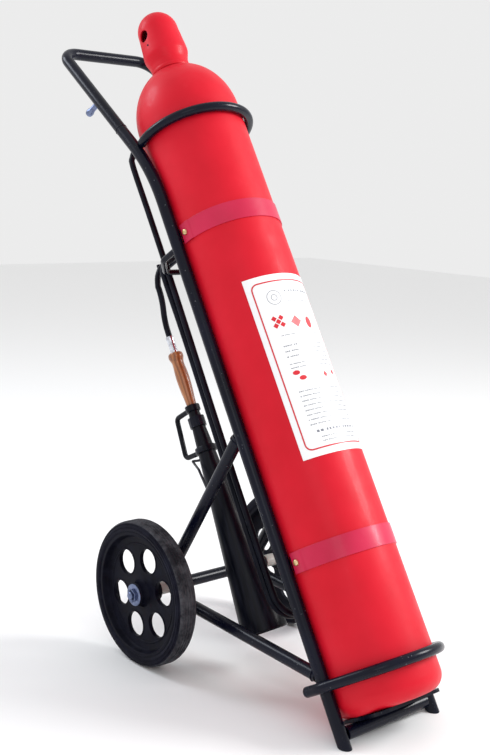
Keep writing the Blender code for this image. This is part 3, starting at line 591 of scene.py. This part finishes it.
def half_loop(start_x, end_x, centre_z, y_from, y_to, steps=8):
    """Half a turn of the hose: over the top when it is high, under the bottom when low."""
    middle = (start_x + end_x) / 2
    up = 1 if centre_z > 0.6 else -1
    points = []
    for i in range(steps + 1):
        share = i / steps
        angle = math.pi * share
        x = middle + (start_x - middle) * math.cos(angle)
        y = y_from + (y_to - y_from) * share
        points.append(Vector((x, y, centre_z + up * HOSE_ARC_R * math.sin(angle))))
    return points


def hanging_run(start, end, steps):
    """Points between two ends of hose, swaying a little to one side and back."""
    sway = Vector((0.0016, 0.0, 0.0))
    points = []
    for i in range(1, steps):
        share = i / steps
        points.append(start.lerp(end, share) + sway * math.sin(math.tau * share))
    return points


def eased_drop(start, end, steps):
    """A hanging S bend from over one point to over another, both its ends pointing straight down."""
    radius = 0.070
    across = Vector((end.x - start.x, end.y - start.y, 0))
    lean = math.acos(1 - across.length / (2 * radius))
    across.normalize()
    upper = Vector((start.x, start.y, end.z + 2 * radius * math.sin(lean)))
    points = []
    for i in range(steps + 1):
        turn = lean * i / steps
        drop = Vector((0, 0, radius * math.sin(turn)))
        points.append(upper + across * radius * (1 - math.cos(turn)) - drop)
    for i in range(steps - 1, -1, -1):
        turn = lean * i / steps
        rise = Vector((0, 0, radius * math.sin(turn)))
        points.append(end - across * radius * (1 - math.cos(turn)) + rise)
    return points


def hose_route():
    """From the parked coupling, twice round the loop and down into the ferrule."""
    low, high = LOOP_LOW_Z + HOSE_ARC_R, ARCH_TOP_Z - HOSE_ARC_R
    left, right = LOOP_LEFT_X, LOOP_RIGHT_X
    route = [Vector((0.0429, 0.136, 1.310)), Vector((0.022, 0.137, 1.310)), Vector((0.000, 0.139, 1.3095))]
    for turn, y in ((20, 0.140), (45, 0.1425), (68, 0.1455), (90, 0.148)):
        a = math.radians(turn)
        route.append(Vector((left + HOSE_ARC_R * (1 - math.sin(a)), y, 1.2515 + HOSE_ARC_R * math.cos(a))))
    under_one = half_loop(left, right, low, 0.1490, 0.1560)
    over_one = half_loop(right, left, high, 0.1560, 0.1640)
    under_two = half_loop(left, right, low, 0.1640, 0.1720)
    over_two = half_loop(right + 0.018, left + 0.018, high + 0.003, 0.1780, 0.2150)
    for stretch, steps in ((under_one, 9), (over_one, 7), (under_two, 7), (over_two, 7)):
        route += hanging_run(route[-1], stretch[0], steps) + stretch
    route += eased_drop(over_two[-1], Vector((HORN_X, HORN_Y, 0.9005)), 4)
    return route + [Vector((HORN_X, HORN_Y, FERRULE_TOP + GAP))]


def hose():
    """The hose, one curve along its whole way."""
    line = [TROLLEY @ p for p in curved(hose_route(), 3)]
    data = bpy.data.curves.new("hose_line", "CURVE")
    data.dimensions = "3D"
    data.bevel_depth = HOSE_R
    data.bevel_resolution = 6
    data.use_fill_caps = True
    spline = data.splines.new("POLY")
    spline.points.add(len(line) - 1)
    for slot, point in zip(spline.points, line):
        slot.co = (*point, 1.0)
    spline.use_smooth = True
    made = bpy.data.objects.new("hose_line", data)
    bpy.context.scene.collection.objects.link(made)
    data.materials.append(LOOK["hose"])
    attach(made, "trolley")
    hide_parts("hose")
    length = sum((b - a).length for a, b in zip(line, line[1:]))
    return made, line[0], length


# ---------------------------------------------------------------- cylinder, collar and cap


def cylinder():
    """The painted cylinder with its domed top, and the threaded collar at its neck."""
    corner = (SHELL_R - BASE_CORNER_R, SHELL_BOTTOM + BASE_CORNER_R)
    profile = [(0, SHELL_BOTTOM + 0.026), (0.020, SHELL_BOTTOM + 0.025), (0.045, SHELL_BOTTOM + 0.019)]
    profile += [(0.062, SHELL_BOTTOM + 0.009), (0.070, SHELL_BOTTOM + 0.002)]
    profile += arc(corner, BASE_CORNER_R, -88, 0, 16)
    profile += [(SHELL_R, z / 10) for z in range(2, 13)]
    end = math.degrees(math.acos(0.040 / SHELL_R))
    profile += [(SHELL_R * x, SHOULDER_Z + DOME_RISE * y) for x, y in arc((0, 0), 1.0, 0, end, 30)]
    profile += [(0.0365, 1.3895), (0.033, 1.392), (0.031, 1.396), (0.031, 1.420), (0, 1.420)]
    piece("cylinder_body", turned(profile, 144), "trolley", "red_paint", "red", "cylinder_shell", angle=60)
    ring = [(0.0313, 1.394), (0.0370, 1.3915), (0.0412, 1.3925), (0.0425, 1.3955), (0.0425, 1.3985)]
    ring += [(0.0415, 1.4012), (0.0400, COLLAR_TOP), (SPIGOT_R, COLLAR_TOP)]
    for k in range(9):
        z = COLLAR_TOP + 0.002 + k * 0.0022
        ring += [(SPIGOT_R - 0.0009, z), (SPIGOT_R, z + 0.0011)]
    ring += [(SPIGOT_R - 0.001, 1.424), (0.0313, 1.424)]
    piece("threaded_collar", turned(ring, 96), "trolley", "red_paint", "red", "neck_collar")


def cap():
    """The bell-shaped cap with its vent and a small dimple."""
    outer = curved([
        (0.0405, CAP_BOTTOM), (0.0409, 1.408), (0.0418, 1.4155), (0.0448, 1.4250), (0.0473, 1.4325),
    ], 5)
    outer += curved([
        (0.0478, 1.4365), (0.0475, 1.446), (0.0464, 1.458), (0.0452, 1.474), (0.0442, 1.486),
    ], 5)
    outer = [tuple(p) for p in outer] + arc((0, CAP_DOME_Z), CAP_DOME_R, 0, 90, 22)
    inner = arc((0, CAP_DOME_Z), CAP_DOME_R - 0.004, 90, 0, 14)
    inner += [(0.0420, 1.470), (0.0415, 1.434), (SPIGOT_R + GAP, 1.427), (SPIGOT_R + GAP, CAP_BOTTOM)]
    outer[-1] = (0.0, outer[-1][1])
    inner[0] = (0.0, inner[0][1])
    made = piece("cap_bell", turned(outer + inner, 112), "cap", "red_paint", "red", "valve_cap", angle=60)
    vent = [(0, -0.07), (VENT_R, -0.07), (VENT_R, 0.07), (0, 0.07)]
    carve(made, turned(vent, 48, along_x(0, 0, VENT_Z)), 0.0007)
    mark = [(0, 0.0450), (0.0019, 0.0450), (0.0019, 0.04775), (0, 0.04775)]
    low = Matrix.Rotation(math.radians(8), 4, "Z") @ along_x(0, 0, 1.4545)
    dimple = turned(mark, 18, low @ Matrix.Rotation(math.pi, 4, "X"))
    piece("cap_dimple", dimple, "cap", "black_paint", "black")


# ---------------------------------------------------------------- label


def film(bm, low_angle, high_angle, low_z, high_z, lift):
    """A curved patch of printed film that lies on the cylinder."""
    steps = max(2, int(abs(high_angle - low_angle) / 2.0))
    rows = []
    for z in (low_z, high_z):
        angles = [math.radians(low_angle + (high_angle - low_angle) * i / steps) for i in range(steps + 1)]
        rows.append([bm.verts.new((*around(a, SHELL_R + lift), z)) for a in angles])
    for i in range(steps):
        bm.faces.new((rows[0][i], rows[0][i + 1], rows[1][i + 1], rows[1][i]))


def film_shape(bm, outline, lift):
    """A flat outline in (arc length, height) from a centre, wrapped on the cylinder."""
    bm.faces.new([bm.verts.new((*around(u / SHELL_R, SHELL_R + lift), z)) for u, z in outline])


def film_ring(bm, centre, radius, width, lift, steps=40):
    """A flat ring printed on the label."""
    rows = []
    for reach in (radius, radius - width):
        rows.append([])
        for k in range(steps):
            a = math.tau * k / steps
            turn = (centre[0] + reach * math.cos(a)) / SHELL_R
            rows[-1].append(bm.verts.new((*around(turn, SHELL_R + lift), centre[1] + reach * math.sin(a))))
    for k in range(steps):
        bm.faces.new((rows[0][k], rows[0][k - 1], rows[1][k - 1], rows[1][k]))


def film_border(bm, half, low_z, high_z, corner, width, lift):
    """A rounded rectangular line, as arc lengths either side of the front."""
    rows = []
    for inset in (0.0, width):
        u, r = half - inset, corner - inset
        top, bottom = high_z - corner, low_z + corner
        centres = ((1, top, 0), (-1, top, 90), (-1, bottom, 180), (1, bottom, 270))
        outline = []
        for sign, z, start in centres:
            outline += arc((sign * (u - r), z), r, start, start + 90, 8)
        row = []
        for (a, b), (c, d) in zip(outline, outline[1:] + outline[:1]):
            cuts = max(1, int(abs(c - a) / 0.004))
            row += [(a + (c - a) * i / cuts, b + (d - b) * i / cuts) for i in range(cuts)]
        rows.append([bm.verts.new((*around(p[0] / SHELL_R, SHELL_R + lift), p[1])) for p in row])
    count = min(len(rows[0]), len(rows[1]))
    for k in range(count):
        bm.faces.new((rows[0][k], rows[0][k - 1], rows[1][k - 1], rows[1][k]))


def diamond(u, z, across, up):
    """The outline of a printed diamond."""
    return [(u, z - up), (u + across, z), (u, z + up), (u - across, z)]


def oval(u, z, across, up):
    """The outline of a printed oval."""
    turns = [math.tau * i / 24 for i in range(24)]
    return [(u + across * math.cos(turn), z + up * math.sin(turn)) for turn in turns]


def label():
    """A plain label: white film, a rounded red line, empty rings, abstract marks and short bars."""
    half_angle = 46.5
    bm = bmesh.new()
    film(bm, -half_angle, half_angle, LABEL_BOTTOM, LABEL_TOP, FILM_LIFT)
    piece("label_film", bm, "trolley", "red_paint", "white")
    red = bmesh.new()
    film_border(red, 0.0775, LABEL_BOTTOM + 0.013, LABEL_TOP - 0.013, 0.014, 0.0028, INK_LIFT)
    for du, dz in ((-1, 1), (1, 1), (0, 0), (-1, -1), (1, -1)):
        film_shape(red, diamond(-0.046 + du * 0.0072, 0.767 + dz * 0.0072, 0.0058, 0.0058), MARK_LIFT)
    film_shape(red, diamond(-0.008, 0.762, 0.0125, 0.0125), MARK_LIFT)
    film_shape(red, oval(0.025, 0.759, 0.0075, 0.0120), MARK_LIFT)
    film_shape(red, oval(-0.046, 0.661, 0.0075, 0.0045), MARK_LIFT)
    film_shape(red, oval(-0.036, 0.649, 0.0075, 0.0045), MARK_LIFT)
    film_shape(red, diamond(0.020, 0.650, 0.0060, 0.0065), MARK_LIFT)
    film_shape(red, diamond(0.050, 0.655, 0.0060, 0.0065), MARK_LIFT)
    piece("label_red_marks", red, "trolley", "red_paint", "ink_red")
    grey = bmesh.new()
    film_ring(grey, (-0.038, 0.8165), 0.0150, 0.0010, INK_LIFT)
    film_ring(grey, (-0.038, 0.8165), 0.0065, 0.0010, INK_LIFT, 24)
    rows = [(0.825, -0.012, 0.058, 0.0042), (0.804, -0.012, 0.050, 0.0022), (0.737, -0.050, 0.060, 0.0016)]
    rows += [(0.715 - 0.011 * k, -0.053, -0.026, 0.0024) for k in range(3)]
    rows += [(0.715 - 0.009 * k, -0.004, 0.056, 0.0020) for k in range(6)]
    rows += [(0.678 - 0.008 * k, -0.053, -0.022, 0.0020) for k in range(2)]
    rows += [(0.622 - 0.0095 * k, -0.054, 0.060, 0.0022) for k in range(8)]
    rows += [(0.540, -0.046, 0.058, 0.0046), (0.529, -0.040, 0.052, 0.0022), (0.521, -0.040, 0.044, 0.0022)]
    for index, (z, start, end, height) in enumerate(rows):
        u = start
        step = 0
        while u < end:
            long = height * (0.75 + 0.55 * ((index * 7 + step * 5) % 4) / 3)
            film_shape(grey, [(u, z), (u + long, z), (u + long, z + height), (u, z + height)], INK_LIFT)
            u += long + height * (0.6 if (step * 3 + index) % 5 else 1.5)
            step += 1
    piece("label_grey_marks", grey, "trolley", "red_paint", "ink_grey")


# ---------------------------------------------------------------- trolley


def arm_direction():
    """The way both arms of the handle lean."""
    return Vector((0, GRIP_Y - RAIL_Y, GRIP_Z - KNEE_Z)).normalized()


def rails():
    """The two bent rails and the feet cut flat to the floor."""
    for side in SIDES:
        name = side_name(side)
        x = side * RAIL_X
        top = Vector((x, GRIP_Y, GRIP_Z)) - arm_direction() * GRIP_SPLIT
        path = filleted([(x, RAIL_Y, BASE_HOOP_Z), (x, RAIL_Y, KNEE_Z), top], KNEE_BEND_R, 24)
        steel(f"frame_rail_{name}", swept(path, TUBE_R, TUBE_BORE_R), f"rail_{name}")
        foot = swept([(x, RAIL_Y, -0.05), (x, RAIL_Y, BASE_HOOP_Z)], TUBE_R)
        down = Vector((0, math.sin(LEAN), -math.cos(LEAN)))
        everything = foot.verts[:] + foot.edges[:] + foot.faces[:]
        bmesh.ops.bisect_plane(
            foot, geom=everything, plane_co=(0, FOOT_EDGE_Y, 0), plane_no=down, clear_outer=True)
        bmesh.ops.holes_fill(foot, edges=[edge for edge in foot.edges if edge.is_boundary], sides=0)
        made = steel(f"floor_foot_{name}", foot, f"foot_{name}")
        softened(made, 0.0008)


def grip_bar():
    """The bar across the tops of the arms, and the welds where it joins them."""
    corners = [Vector((side * RAIL_X, GRIP_Y, GRIP_Z)) for side in SIDES]
    ends = [corner - arm_direction() * (GRIP_SPLIT - 0.0002) for corner in corners]
    path = filleted([ends[0], corners[0], corners[1], ends[1]], GRIP_BEND_R, 18)
    steel("push_handle", swept(path, TUBE_R, TUBE_BORE_R), "handle_grip_bar")
    bm = bmesh.new()
    for index, end in enumerate(ends):
        bead(end, arm_direction(), TUBE_R - 0.0006, 0.0014, index, bm)
    steel("handle_welds", bm)


def base_hoop_path():
    """Round the front of the cylinder and on past the outer sides of both rails."""
    close = SHELL_R + BASE_HOOP_TUBE_R + HOOP_LIFT
    angles = [BASE_HOOP_LEAVES * (2 * i / 70 - 1) for i in range(71)]
    front = [Vector((*around(a, close), BASE_HOOP_Z)) for a in angles]
    outer = RAIL_X + TUBE_R + BASE_HOOP_TUBE_R + GAP
    run = (outer - front[-1].x) * math.tan(BASE_HOOP_LEAVES)
    tail = [front[-1], (outer, front[-1].y + run, BASE_HOOP_Z), (outer, BASE_HOOP_END_Y, BASE_HOOP_Z)]
    tail = [Vector(point) for point in filleted(tail, 0.040, 14)]
    mirrored = [Vector((-point.x, point.y, point.z)) for point in reversed(tail)]
    return mirrored + front[1:-1] + tail


def hoops():
    """The hoops round the shoulder and the base."""
    angles = [math.radians(106) * (2 * i / 110 - 1) for i in range(111)]
    tube = SHOULDER_HOOP_TUBE_R
    path = [(*around(a, SHELL_R + tube + HOOP_LIFT), SHOULDER_HOOP_Z) for a in angles]
    bands = [("shoulder_band", path, tube, "shoulder_hoop")]
    bands += [("base_band", base_hoop_path(), BASE_HOOP_TUBE_R, "base_hoop")]
    for name, path, tube, node in bands:
        made = steel(name, swept(path, tube, tube - 0.002, 24), node)
        softened(made, 0.0004, 2)


def strut_path(side):
    """From high on a rail, round the axle, and back to the rail near its foot."""
    x = side * RAIL_X
    ends = [Vector((x, FOOT_EDGE_Y - 0.006, z)) for z in (STRUT_TOP_Z, STRUT_FOOT_Z)]
    axle_spot = Vector((x, AXLE_Y, AXLE_Z))
    corner = axle_spot.copy()
    for _ in range(12):
        to_ends = [(end - corner).normalized() for end in ends]
        half = to_ends[0].angle(to_ends[1]) / 2
        inward = (to_ends[0] + to_ends[1]).normalized()
        corner = axle_spot - inward * STRUT_BEND_R * (1 / math.sin(half) - 1)
    return filleted([ends[0], corner, ends[1]], STRUT_BEND_R, 24)


def struts():
    """The struts, the axle's sleeve, the crossbar at the feet and their welds."""
    welds = bmesh.new()
    for side in SIDES:
        path = strut_path(side)
        name = side_name(side)
        steel(f"axle_strut_{name}", swept(path, TUBE_R), f"strut_{name}")
        for index, (end, following) in enumerate(((path[0], path[1]), (path[-1], path[-2]))):
            heading = (following - end).normalized()
            bead(end + heading * 0.0085, heading, TUBE_R - 0.0002, 0.0022, side + index * 2.0, welds)
    reach = RAIL_X - TUBE_R
    axle_run = [(-reach, AXLE_Y, AXLE_Z), (reach, AXLE_Y, AXLE_Z)]
    steel("axle_sleeve", swept(axle_run, TUBE_R, TUBE_BORE_R), "axle_tube")
    base_run = [(-reach, RAIL_Y, 0.0145), (reach, RAIL_Y, 0.0145)]
    steel("foot_crossbar", swept(base_run, TUBE_R, TUBE_BORE_R), "base_crossbar")
    for side in SIDES:
        x = side * (reach - 0.001)
        bead((x, AXLE_Y, AXLE_Z), (1, 0, 0), TUBE_R - GAP, 0.0020, side * 1.7, welds)
        bead((x, RAIL_Y, 0.0155), (1, 0, 0), TUBE_R - 0.0022, 0.0016, side * 2.3, welds)
    steel("frame_welds", welds)


# ---------------------------------------------------------------- straps


def strap_outline():
    """The band from above: close on the cylinder, stepping out over a lug at each end."""
    edge = LUG_START - math.radians(2.5)
    front = [edge * (2 * i / 90 - 1) for i in range(91)]
    ends = [edge + math.radians(2) * t for t in (0.25, 0.5, 0.75, 1.0)]
    ends += [edge + math.radians(5), STRAP_END]
    angles = [-a for a in reversed(ends)] + front + ends

    def reach(a):
        t = min(max((abs(a) - edge) / math.radians(2), 0), 1)
        return SHELL_R + GAP + t * t * (3 - 2 * t) * (LUG_THICK + GAP)

    inner = [around(a, reach(a)) for a in angles]
    return inner + [around(a, reach(a) + STRAP_THICK) for a in angles][::-1]


def radial(side, height):
    """A matrix standing a turned shape straight out of the cylinder at a strap's bolt."""
    outward = Vector((*around(side * BOLT_ANGLE, 1.0), 0))
    turn = Vector((0, 0, 1)).rotation_difference(outward).to_matrix().to_4x4()
    return Matrix.Translation((0, 0, height)) @ turn


def straps():
    """The two bands round the cylinder and their screws."""
    head = SHELL_R + GAP + LUG_THICK + GAP + STRAP_THICK + GAP
    for name, bottom in STRAP_BOTTOMS.items():
        band = prism(strap_outline(), bottom, bottom + STRAP_HEIGHT)
        made = piece(f"strap_band_{name}", band, "trolley", "red_paint", "strap", f"strap_{name}", angle=30)
        softened(made, 0.0005, 2)
        for side in SIDES:
            end = f"{name}_{side_name(side)}"
            place = radial(side, bottom + STRAP_HEIGHT / 2)
            screw = [
                (0, head - 0.002), (0.0060, head - 0.002), (0.0062, head + 0.0010), (0.0057, head + 0.0028),
                (0.0044, head + 0.0039), (0.0030, head + 0.0042), (0.0027, head + 0.0030),
                (0, head + 0.0030),
            ]
            made = turned(screw, 36, place)
            piece(f"strap_screw_{end}", made, "trolley", "zinc", "brass", f"strap_bolt_{end}")


# ---------------------------------------------------------------- axle and wheels


def wheel_axis(side):
    """A matrix standing a turned shape along the axle, outward on its side."""
    spin = Matrix.Rotation(LEAN, 4, "X")
    turn = Matrix.Rotation(side * math.pi / 2, 4, "Y")
    return Matrix.Translation((0, AXLE_Y, AXLE_Z)) @ spin @ turn


def tyre_profile():
    """The tyre's outline: its inner side, the grooved tread and its outer side."""
    side_in = curved([
        (0.1285, 0.1762), (0.1320, 0.1742), (0.1360, 0.1737), (0.1410, 0.1742), (0.1462, 0.1765),
    ], 4)
    side_in += [Vector(p) for p in ((0.1480, 0.1785), (0.1494, 0.1815))]
    tread = []
    for centre in (0.1850, 0.1915, 0.1980, 0.2045):
        tread += [(0.1499, centre - 0.0014), (0.1486, centre - 0.0008)]
        tread += [(0.1486, centre + 0.0008), (0.1499, centre + 0.0014)]
    side_out = [Vector(p) for p in ((0.1494, 0.2105), (0.1480, 0.2135))]
    side_out += curved([
        (0.1462, 0.2155), (0.1442, 0.2170), (0.1430, 0.2162), (0.1418, 0.2176), (0.1372, 0.2183),
    ], 3)
    side_out += curved([(0.1364, 0.2174), (0.1355, 0.2183), (0.1320, 0.2178), (0.1285, 0.2158)], 3)
    return [tuple(p) for p in side_in] + tread + [tuple(p) for p in side_out]


def hole_spots(axis):
    """One matrix for each round hole in a wheel's disc."""
    turns = [HOLE_PHASE + math.tau * k / HOLE_COUNT for k in range(HOLE_COUNT)]
    out = Matrix.Translation((HOLE_RING_R, 0, 0))
    return [axis @ Matrix.Rotation(turn, 4, "Z") @ out for turn in turns]


def wheel(side):
    """One wheel: its tyre, its disc and the parts round its hub."""
    name = side_name(side)
    body = f"wheel_{name}"
    axis = wheel_axis(side)
    tyre = turned(tyre_profile(), 144, axis)
    made = piece(f"rubber_tyre_{name}", tyre, body, "rubber", "tyre", f"tyre_{name}", angle=32)
    made.data.materials.append(LOOK["tread"])
    centre = TROLLEY @ Vector((0, AXLE_Y, AXLE_Z))
    for face in made.data.polygons:
        reach = face.center - centre
        face.material_index = 1 if math.hypot(reach.y, reach.z) > 0.1466 else 0
    rim = [
        (0.0128, 0.166), (0.0225, 0.166), (0.0240, 0.168), (0.0250, 0.186), (0.0290, 0.1935),
        (0.0340, 0.1942), (0.1075, 0.1942), (0.1150, 0.1915), (0.1192, 0.1850), (0.1205, 0.1775),
        (0.1215, 0.1760), (0.1280, 0.1760), (0.1280, 0.2160), (0.1215, 0.2160), (0.1204, 0.2145),
        (0.1192, 0.2085), (0.1160, 0.2040), (0.1075, 0.2020), (0.1040, 0.2018), (0.1030, 0.2026),
        (0.1010, 0.2026), (0.1000, 0.2018), (0.0440, 0.2018), (0.0380, 0.2026), (0.0290, 0.2035),
        (0.0250, 0.2090), (0.0240, 0.2175), (0.0225, 0.2190), (0.0128, 0.2190),
    ]
    casting = turned(rim, 144, axis)
    disc = piece(f"cast_wheel_{name}", casting, body, "cast_iron", "disc", f"wheel_{name}", angle=50)
    holes = bmesh.new()
    for spot in hole_spots(axis):
        turned([(0, 0.18), (HOLE_R, 0.18), (HOLE_R, 0.22), (0, 0.22)], 48, spot, holes)
    carve(disc, holes, 0.0009)
    lips = bmesh.new()
    lip = [(HOLE_R + 0.0002, 0.2010), (HOLE_R + 0.0034, 0.2010)]
    lip += [(HOLE_R + 0.0030, 0.2026), (HOLE_R + 0.0008, 0.2028)]
    for spot in hole_spots(axis):
        turned(lip, 48, spot, lips)
    piece(f"wheel_hole_lips_{name}", lips, body, "cast_iron", "disc", angle=60)
    washer = [(0.0083, 0.2198), (0.0218, 0.2198), (0.0225, 0.2203)]
    washer += [(0.0225, 0.2217), (0.0218, 0.2222), (0.0083, 0.2222)]
    piece(f"hub_washer_{name}", turned(washer, 64, axis), "trolley", "zinc", "zinc", f"axle_washer_{name}")
    nut = turned([(0.0097, 0.2225), (0.0143, 0.2225), (0.0143, 0.2284), (0.0097, 0.2284)], 6, axis)
    softened(piece(f"hub_nut_{name}", nut, "trolley", "zinc", "zinc", f"axle_nut_{name}"), 0.0006)


def axle():
    """The axle, a bar with its ends chamfered."""
    ends = [(0, -AXLE_HALF), (0.0068, -AXLE_HALF), (AXLE_R, -AXLE_HALF + 0.0014)]
    ends += [(r, -h) for r, h in reversed(ends)]
    bar = turned(ends, 40, along_x(0, AXLE_Y, AXLE_Z))
    piece("axle_bar", bar, "trolley", "zinc", "zinc", "axle")


# ---------------------------------------------------------------- horn, grip and small parts


def horn_radius(z):
    """The cone's outer radius at a height, never less than its neck's."""
    share = (HORN_NECK_Z - z) / (HORN_NECK_Z - HORN_MOUTH_Z)
    return HORN_NECK_R + (HORN_MOUTH_R - HORN_NECK_R) * max(share, 0.0)


def horn():
    """The crimped ferrule, the wooden grip and the cone with its bands."""
    spot = Matrix.Translation((HORN_X, HORN_Y, 0))
    sleeve = [(0, GRIP_TOP + GAP), (0.0084, GRIP_TOP + GAP), (0.0088, 0.8525), (0.0088, 0.8570)]
    for z in (0.8590, 0.8650, 0.8710):
        sleeve += [(0.0080, z), (0.0077, z + 0.0012), (0.0080, z + 0.0024), (0.0086, z + 0.0034)]
    sleeve += [
        (0.0082, 0.8800), (0.0088, 0.8830), (0.0090, 0.8870), (0.0086, FERRULE_TOP), (0, FERRULE_TOP),
    ]
    piece("crimped_ferrule", turned(sleeve, 48, spot), "trolley", "zinc", "silver", "hose_ferrule")
    shape = [
        (0.0106, GRIP_END + 0.001), (0.0110, 0.7360), (0.0118, 0.7480), (0.0131, 0.7620), (0.0140, 0.7760),
        (0.0145, 0.7930), (0.0139, 0.8080), (0.0129, 0.8200), (0.0128, 0.8290), (0.0144, 0.8350),
        (0.0160, 0.8400), (0.0163, 0.8440), (0.0152, 0.8490), (0.0120, GRIP_TOP),
    ]
    outline = [(0, GRIP_END), (0.0098, GRIP_END)] + [tuple(p) for p in curved(shape, 5)] + [(0, GRIP_TOP)]
    piece("turned_grip", turned(outline, 64, spot), "trolley", "wood", "wood", "wooden_grip", angle=50)
    top = GRIP_END - GAP
    outer = [(0, top), (0.0105, top), (0.0112, top - 0.001), (0.0116, 0.722), (HORN_NECK_R, HORN_NECK_Z)]
    outer += [(horn_radius(z), z) for z in (0.690, 0.640, 0.600, 0.550, 0.450, 0.350, 0.280, 0.2420)]
    mouth = [
        (horn_radius(0.240), 0.2400), (HORN_MOUTH_R, 0.2372), (HORN_MOUTH_R, 0.2352),
        (0.0478, HORN_MOUTH_Z), (0.0464, HORN_MOUTH_Z), (horn_radius(0.238) - HORN_WALL, 0.238),
    ]
    inner = [(horn_radius(z) - HORN_WALL, z) for z in (0.280, 0.350, 0.450, 0.550, 0.600)] + [(0, 0.680)]
    cone = turned(outer + mouth + inner, 96, spot)
    piece("cone_horn", cone, "trolley", "horn_plastic", "horn", "discharge_horn", angle=50)
    bends = [(HORN_X, HORN_Y + 0.0132, 0.7225), (HORN_X, 0.309, 0.7225), (HORN_X, 0.320, 0.6345)]
    bends += [(HORN_X, HORN_Y + 0.0215, 0.6295)]
    handle = swept(filleted(bends, 0.010, 10), 0.0055, 0.0, 24)
    for low, high, thick in ((0.7155, 0.7290, 0.004), (0.6230, 0.6360, 0.0045)):
        band = [(horn_radius(low) + GAP, low), (horn_radius(high) + GAP, high)]
        band += [(horn_radius(high) + thick - 0.0008, high), (horn_radius(high) + thick, high - 0.0009)]
        band += [(horn_radius(low) + thick, low + 0.0009), (horn_radius(low) + thick - 0.0008, low)]
        turned(band, 56, spot, handle)
    piece("carrying_loop", handle, "trolley", "horn_plastic", "horn", "horn_handle")


def rods():
    """The bent rods that carry the hose, the horn and the coupling."""
    height = 0.990
    bends = [(-RAIL_X, RAIL_Y + 0.010, height), (-RAIL_X, 0.078, height), (-0.078, 0.134, height)]
    bends += [(-x, y, z) for x, y, z in reversed(bends)]
    steel("hose_bar", swept(filleted(bends, 0.020, 10), 0.006, 0.0, 20), "hose_brace")
    x = (LOOP_LEFT_X + LOOP_RIGHT_X) / 2
    peg_z = ARCH_TOP_Z - HOSE_R - 0.0058
    bends = [(x, 0.134, height + 0.005), (x, 0.134, peg_z), (x, 0.236, peg_z), (x, 0.236, peg_z + 0.022)]
    steel("loop_peg", swept(filleted(bends, 0.010, 10), 0.004, 0.0, 20), "hose_peg")
    foot = (0.050, AXLE_Y - 0.004, AXLE_Z + TUBE_R + 0.0055)
    bends = [foot, (0.050, 0.335, 0.480), (0.050, 0.335, 0.712)]
    steel("clip_post", swept(filleted(bends, 0.030, 12), 0.006, 0.0, 20), "horn_post")
    bends = [(RAIL_X, 0.098, 1.310), (RAIL_X, 0.136, 1.310), (0.0857, 0.136, 1.310)]
    peg = swept(filleted(bends, 0.014, 10), 0.005, 0.0, 20)
    steel("parking_peg", peg, "coupling_peg")
    stub = [
        (0, 0.112), (0.0062, 0.112), (0.0062, 0.1485), (0.0076, 0.1508), (0.0082, 0.1540), (0.0082, 0.1590),
    ]
    stub += [(0.0074, 0.1622), (0.0052, 0.1643), (0, 0.1645)]
    stub = turned(stub, 36, along_y(-RAIL_X, 0, 1.388))
    piece("arm_stub", stub, "trolley", "zinc", "zinc", "handle_hook")


CARRIED = {
    "black": ["valve_handwheel", "base_plate", "horn_clip", "horn_rest"],
    "zinc": ["valve_spindle", "handwheel_nut", "coupling_sleeve", "cotter_pin_left", "cotter_pin_right"],
    "brass": ["valve_body", "valve_outlet_plug", "burst_disc_nut", "hose_coupling"],
    "copper": ["dip_tube"],
    "nylon": ["hub_bush_left", "hub_bush_right"],
}
for strap_end in ("upper_left", "upper_right", "lower_left", "lower_right"):
    CARRIED["black"].append(f"strap_lug_{strap_end}")


def carried_over():
    """CAD nodes whose shape is already right keep it and take a finished material."""
    for look, names in CARRIED.items():
        for name in names:
            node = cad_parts[name]
            node.data.materials.clear()
            node.data.materials.append(LOOK[look])
            softened(node, 0.0003, 2)


camera()
studio()
hose_piece, hose_exit, hose_length = hose()
cylinder()
cap()
label()
rails()
grip_bar()
hoops()
struts()
straps()
axle()
for wheel_side in SIDES:
    wheel(wheel_side)
horn()
rods()
carried_over()
